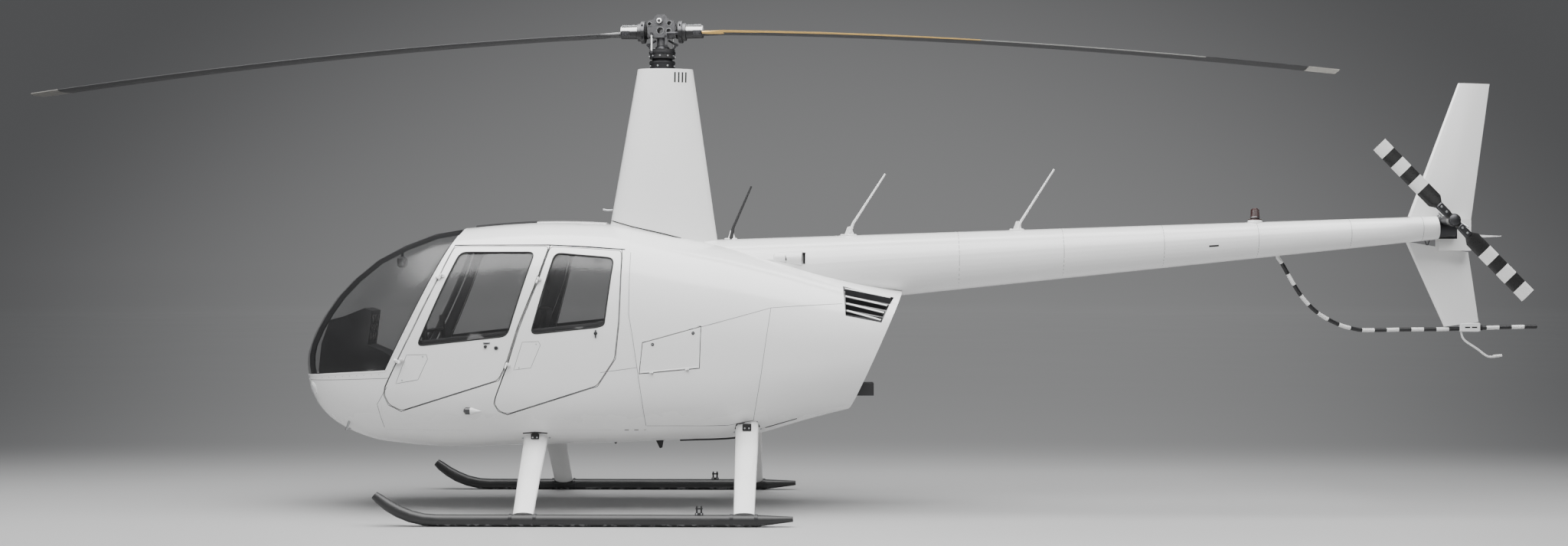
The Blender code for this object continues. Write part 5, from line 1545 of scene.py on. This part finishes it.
def pad_mesh(outline, low, high):
    """A plate with broken edges from a side outline between two y values."""
    small = [tuple(p) for p in inset(outline, PAD_INSET * 1.35)]
    shape = Shape()
    ways = ((low + PAD_INSET, 0.010), (low + PAD_INSET + 0.012, 0.0), (high - PAD_INSET - 0.012, 0.0),
            (high - PAD_INSET, 0.010))
    shape.rings([[at(x, y, z) for x, z in inset(rounded(small, 0.018, 3), edge)] for y, edge in ways])
    mesh = bpy.data.meshes.new("pad")
    mesh.from_pydata(shape.points, [], shape.faces)
    work = bmesh.new()
    work.from_mesh(mesh)
    bmesh.ops.recalc_face_normals(work, faces=work.faces)
    work.to_mesh(mesh)
    work.free()
    return mesh


def evaluated(thing):
    seen = thing.evaluated_get(bpy.context.evaluated_depsgraph_get())
    return bpy.data.meshes.new_from_object(seen)


def puffed(mesh):
    """The same pad after the cloth has been blown up, its travel capped."""
    thing = link("pad", mesh)
    remesh = thing.modifiers.new("even", "REMESH")
    remesh.mode = "VOXEL"
    remesh.voxel_size = PAD_VOXEL
    thing.data = evaluated(thing)
    thing.modifiers.clear()
    rest = [v.co.copy() for v in thing.data.vertices]
    cloth = thing.modifiers.new("cloth", "CLOTH")
    cloth.settings.use_pressure = True
    cloth.settings.uniform_pressure_force = PAD_PRESSURE
    cloth.settings.effector_weights.gravity = 0.0
    cloth.settings.quality = 4
    for step in range(1, PAD_FRAMES + 1):
        bpy.context.scene.frame_set(step)
    blown = evaluated(thing)
    thing.modifiers.clear()
    thing.data = blown
    bpy.context.scene.frame_set(1)
    for vert, home in zip(thing.data.vertices, rest):
        move = vert.co - home
        if move.length > PAD_TRAVEL:
            vert.co = home + move.normalized() * PAD_TRAVEL
    finer = thing.modifiers.new("finer", "SUBSURF")
    finer.levels = finer.render_levels = 1
    result = evaluated(thing)
    bpy.data.objects.remove(thing)
    return result


def pad_piece(name, mesh, shift, flat_below=None):
    """One pad in its place, flat where it rests on its box."""
    copy = mesh.copy()
    for vert in copy.vertices:
        vert.co.y += shift
        if flat_below is not None:
            vert.co.z = max(vert.co.z, flat_below)
    copy.shade_smooth()
    copy.materials.clear()
    copy.materials.append(LEATHER)
    made = link(name + "_pad", copy)
    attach(made, "airframe")
    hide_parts(name)


for name, half, front, back, low, high, rest in SEATS:
    base = [(front, low), (back, low), (back, high), (front, high)]
    cushion, upright = puffed(pad_mesh(base, -half, half)), puffed(pad_mesh(rest, -half, half))
    for word, way in SIDES:
        pad_piece(name + "_cushion_" + word, cushion, way * SEAT_Y, low + 0.0004)
        pad_piece(name + "_back_" + word, upright, way * SEAT_Y)
print("pads", len(SEATS) * 4)

# %% [markdown]
# ## Belts and buckles
# A lap belt lies across each seat cushion, with its buckle.

# %% Belts
WEBBING = Look("belt_webbing", (0.03, 0.03, 0.03), 0.8)
weave = (WEBBING.split()[0] * 1800).math("SINE") * (WEBBING.split()[1] * 1800).math("SINE")
WEBBING.set(base_color=WEBBING.mix(WEBBING.noise(60.0), (0.018, 0.018, 0.020), (0.05, 0.05, 0.052)))
WEBBING.set(roughness=WEBBING.noise(80.0) * 0.1 + 0.75)
WEBBING.bump(weave, 0.0004)
for name, half, front, back, low, high, rest in SEATS:
    for word, way in SIDES:
        y = way * SEAT_Y
        belt = Shape()
        x = back - 0.10 + MAST_X
        spots = []
        for i in range(17):
            share = i / 8 - 1
            drop = max(0.0, abs(share) - 0.86) * 0.50
            spots.append((Vector((x, y + share * (half - 0.004), high + 0.0045 - drop + 0.003 * (1 - share ** 2))),
                          UP))
        belt.strip(spots, 0.046, 0.0016, 0.0004)
        middle = Vector((x, y, high + 0.0090))
        belt.block(middle, (0.052, 0.064, 0.009), 0.002, look=1)
        belt.block(middle + UP * 0.005, (0.034, 0.024, 0.005), 0.0015, look=1)
        belt.piece(name + "_belt_" + word, [WEBBING.material, STEEL])

# %% [markdown]
# ## Instrument panel and centre stick
# The pedestal carries three columns of round dials under a hood. Their rings are turned,
# their faces are set back, and pale ticks stand round each. The stick's grips are ribbed.

# %% Instruments
TICKS = Look("dial_marks", (0.8, 0.8, 0.78), 0.5)
TICKS.set(base_color=TICKS.mix(TICKS.noise(300.0), (0.6, 0.6, 0.58), (0.85, 0.85, 0.82)), roughness=TICKS.noise(90.0))
DIAL = plastic("dial_face", (0.008, 0.008, 0.009), 0.3, 1500.0, 0.00004)
face_low, face_high = at(-2.115, 0, 1.200), at(-2.087, 0, 1.405)
up = (face_high - face_low).normalized()
out = Vector((up.z, 0, -up.x))
panel = Shape()
for row in range(3):
    for column in (-1, 0, 1):
        centre = face_low + up * (0.036 + 0.066 * row) + Vector((0, 0.078 * column, 0)) + out * 0.001
        ring(panel, centre, out, 0.0265, 0.0325, 0.006, 0, 28)
        panel.bolt(centre - out * 0.003, out, 0.0268, 0.0042, 28)
        for tick in range(9):
            turn = math.radians(225 - 33.75 * tick)
            way = Vector((0, math.cos(turn), 0)) + up * math.sin(turn)
            side = out.cross(way)
            panel.block(centre + way * 0.021 + out * 0.0017, (0.0055, 0.0012, 0.001), 0.0002, (way, side, out), 2)
        turn = 1.1 + 0.9 * row + 1.7 * column
        way = Vector((0, math.cos(turn), 0)) + up * math.sin(turn)
        panel.block(centre + way * 0.007 + out * 0.0025, (0.018, 0.0016, 0.001), 0.0003, (way, out.cross(way), out), 2)
panel.piece("instrument_dials", [TRIM, DIAL, TICKS.material])

# %% Radio stack, compass and stick
radio = Shape()
start, end = at(-1.985, 0, 0.905), at(-1.952, 0, 1.085)
up = (end - start).normalized()
out = Vector((up.z, 0, -up.x))
for row in range(3):
    centre = start + up * (0.030 + 0.060 * row) + out * 0.003
    radio.block(centre, (0.168, 0.046, 0.008), 0.002, (Vector((0, 1, 0)), up, out))
    radio.block(centre + out * 0.003, (0.096, 0.022, 0.006), 0.001, (Vector((0, 1, 0)), up, out), 1)
    for side in (-1, 1):
        knob = centre + Vector((0, side * 0.068, 0)) + out * 0.003
        radio.turned(knob, out, [(0, 0.010), (0.012, 0.009), (0.014, 0.007)], 16, 2)
radio.piece("radio_stack", [TRIM, DIAL, STEEL])
compass = Shape()
spot, normal = SKIN.top(-1.897, 0.0)
middle = Vector((spot.x, 0, 1.777))
compass.block(middle, (0.062, 0.070, 0.080), 0.014)
compass.turned(middle + Vector((0.029, 0, 0)), (1, 0, 0), [(0, 0.026), (0.006, 0.026), (0.008, 0.022)], 20, 1)
compass.tube([middle + UP * 0.030, spot - normal * 0.013], 0.010, 10)
compass.piece("compass", [TRIM, DIAL])
stick = Shape()
BAR_HALF = 0.33
for way in (-1, 1):
    a, b = at(-1.672, way * BAR_HALF, 1.385), at(-1.660, way * BAR_HALF, 1.180)
    axis = (b - a).normalized()
    folds = [(0.020 + 0.008 * i, 0.0215 if i % 2 else 0.0195) for i in range(20)]
    stick.turned(a, axis, folds, 20)
    stick.block(a + Vector((-0.017, 0, -0.016)), (0.010, 0.012, 0.016), 0.003, look=1)
stick.turned(at(-1.86, 0, 0.5806), UP, [(0, 0.060), (0.010, 0.058), (0.018, 0.044), (0.028, 0.046),
                                        (0.040, 0.032), (0.052, 0.034), (0.070, 0.018)], 24)
stick.piece("stick_grips", [RUBBER, STEEL])
pedals = Shape()
for way in (-1, 1):
    for y in (0.215, 0.325):
        foot = at(-2.185, way * y, 0.700)
        pedals.tube([foot + Vector((-0.04, 0, -0.118)), foot], 0.008, 10)
        pedals.block(foot + Vector((0.004, 0, 0.02)), (0.012, 0.075, 0.090), 0.003)
pedals.piece("pedals", STEEL)
print("cabin fitted")

# %% [markdown]
# ## Behind the grille
# A dark screen stands behind the slats of the cowl's grille. The exhaust's pipe and its
# rolled rim sit in their box.

# %% Screen and exhaust
screen = Shape()
for way in (-1, 1):
    outline = ((1.315, 1.395), (1.560, 1.375), (1.650, 1.520), (1.315, 1.585))
    screen.rings([[at(x, way * y, z) for x, z in outline] for y in (0.335, 0.345)])
screen.piece("grille_screen", CAST)
pipe = Shape()
pipe.tube([at(1.360, -0.24, 0.874), at(1.500, -0.24, 0.874)], 0.030, 20)
ring(pipe, at(1.5245, -0.24, 0.874), (1, 0, 0), 0.020, 0.032, 0.0005)
pipe.piece("exhaust_pipe", DARK_METAL, slot="cast_alloy")
print("engine bay fitted")
# %% [markdown]
# ## Floor and light
# The floor is a wide round dish that curves up into a wall on every side, so every view has
# a backdrop. A painted pool of light, pale floor round the skids, fades into the wall's grey,
# which is painted light too: it glows a little, most straight ahead of the camera's place,
# because no lamp reaches that far. A very wide soft lamp overhead lights the upper skins almost
# white and lets the flanks fall off towards the belly, as in a studio.

# %% Floor
FLOOR_RADIUS, CURVE_RADIUS, WALL_TOP, SPOKES = 60.0, 12.0, 36.0, 72
POOL_STRETCH, POOL_Y, POOL_EDGE = 0.4, 3.0, (2.8, 8.6)
GLOW_Y, GLOW_Z, GLOW_EDGE, GLOW_TOP_FADE = 13.7, 1.75, (0.90, 1.0), 0.28


def dish():
    """A round floor that curves up into a wall, as one smooth sheet."""
    profile = [(4.0, 0.0), (20.0, 0.0), (FLOOR_RADIUS, 0.0)]
    for step in range(1, 9):
        turn = math.pi / 2 * step / 8
        profile.append((FLOOR_RADIUS + CURVE_RADIUS * math.sin(turn), CURVE_RADIUS * (1 - math.cos(turn))))
    profile.append((FLOOR_RADIUS + CURVE_RADIUS, WALL_TOP))
    points = [(0.0, 0.0, 0.0)]
    for r, z in profile:
        points += [(r * c, r * s, z) for c, s in around(SPOKES)]
    faces = [(0, 1 + k, 1 + (k + 1) % SPOKES) for k in range(SPOKES)]
    for row in range(len(profile) - 1):
        base = 1 + row * SPOKES
        for k in range(SPOKES):
            after = (k + 1) % SPOKES
            faces.append((base + k, base + SPOKES + k, base + SPOKES + after, base + after))
    mesh = bpy.data.meshes.new("floor")
    mesh.from_pydata(points, [], faces)
    mesh.shade_smooth()
    mesh.materials.append(floor_look())
    link("floor", mesh)


def floor_look():
    """A painted pool of light, pale round the skids, and farther out the wall's soft grey, a painted glow brightest
    straight ahead of the camera's place.
    """
    look = Look("floor_grey", (0.40, 0.40, 0.40), 0.55, emission_strength=1.0)
    x, y, z = look.split()
    cloud = look.noise(0.35, 3.0)
    # painted light: a pool of pale floor centred ahead of the helicopter fades out to a near black floor
    pool = ((x * POOL_STRETCH) ** 2.0 + (y + POOL_Y) ** 2.0) ** 0.5
    far = look.ramp(pool, *POOL_EDGE)
    # painted light: farther out the floor and wall glow, brightest straight ahead of the camera's place
    away = (x ** 2.0 + (y + GLOW_Y) ** 2.0 + (z - GLOW_Z) ** 2.0) ** 0.5
    facing = (y + GLOW_Y) / away - ((z - GLOW_Z) / away).most(0.0) * GLOW_TOP_FADE
    glow = look.mix(look.ramp(facing, *GLOW_EDGE), (0.075, 0.076, 0.078), (0.212, 0.213, 0.215))
    pale = look.mix(cloud, (0.385, 0.385, 0.385), (0.415, 0.415, 0.415))
    look.set(base_color=look.mix(far, pale, (0.03, 0.03, 0.03)), roughness=cloud * 0.1 + 0.5)
    look.set(emission_color=look.mix(far, (0.0, 0.0, 0.0), glow))
    return look.material


dish()

# %% Light
def area_light(name, spot, aim, size, power):
    data = bpy.data.lights.new(name, "AREA")
    data.shape = "RECTANGLE"
    data.size, data.size_y = size
    data.energy = power
    made = link(name, data)
    made.location = spot
    made.rotation_euler = (Vector(aim) - Vector(spot)).to_track_quat("-Z", "Y").to_euler()


LAMPS = (
    # name, place, aim, size in metres, power in watts
    ("overhead", (0.0, -2.0, 8.0), (0.0, -0.4, 0.0), (15.0, 8.0), 2750.0),
    ("front_fill", (-3.0, -14.0, 7.0), (0.0, 0.0, 1.0), (28.0, 10.0), 480.0),
)
for lamp in LAMPS:
    area_light(*lamp)
world = bpy.data.worlds.new("studio")
world.use_nodes = True
sky = world.node_tree.nodes["Background"].inputs
sky["Color"].default_value, sky["Strength"].default_value = (0.75, 0.77, 0.80, 1.0), 0.25
bpy.context.scene.world = world
print("floor and lamps set")
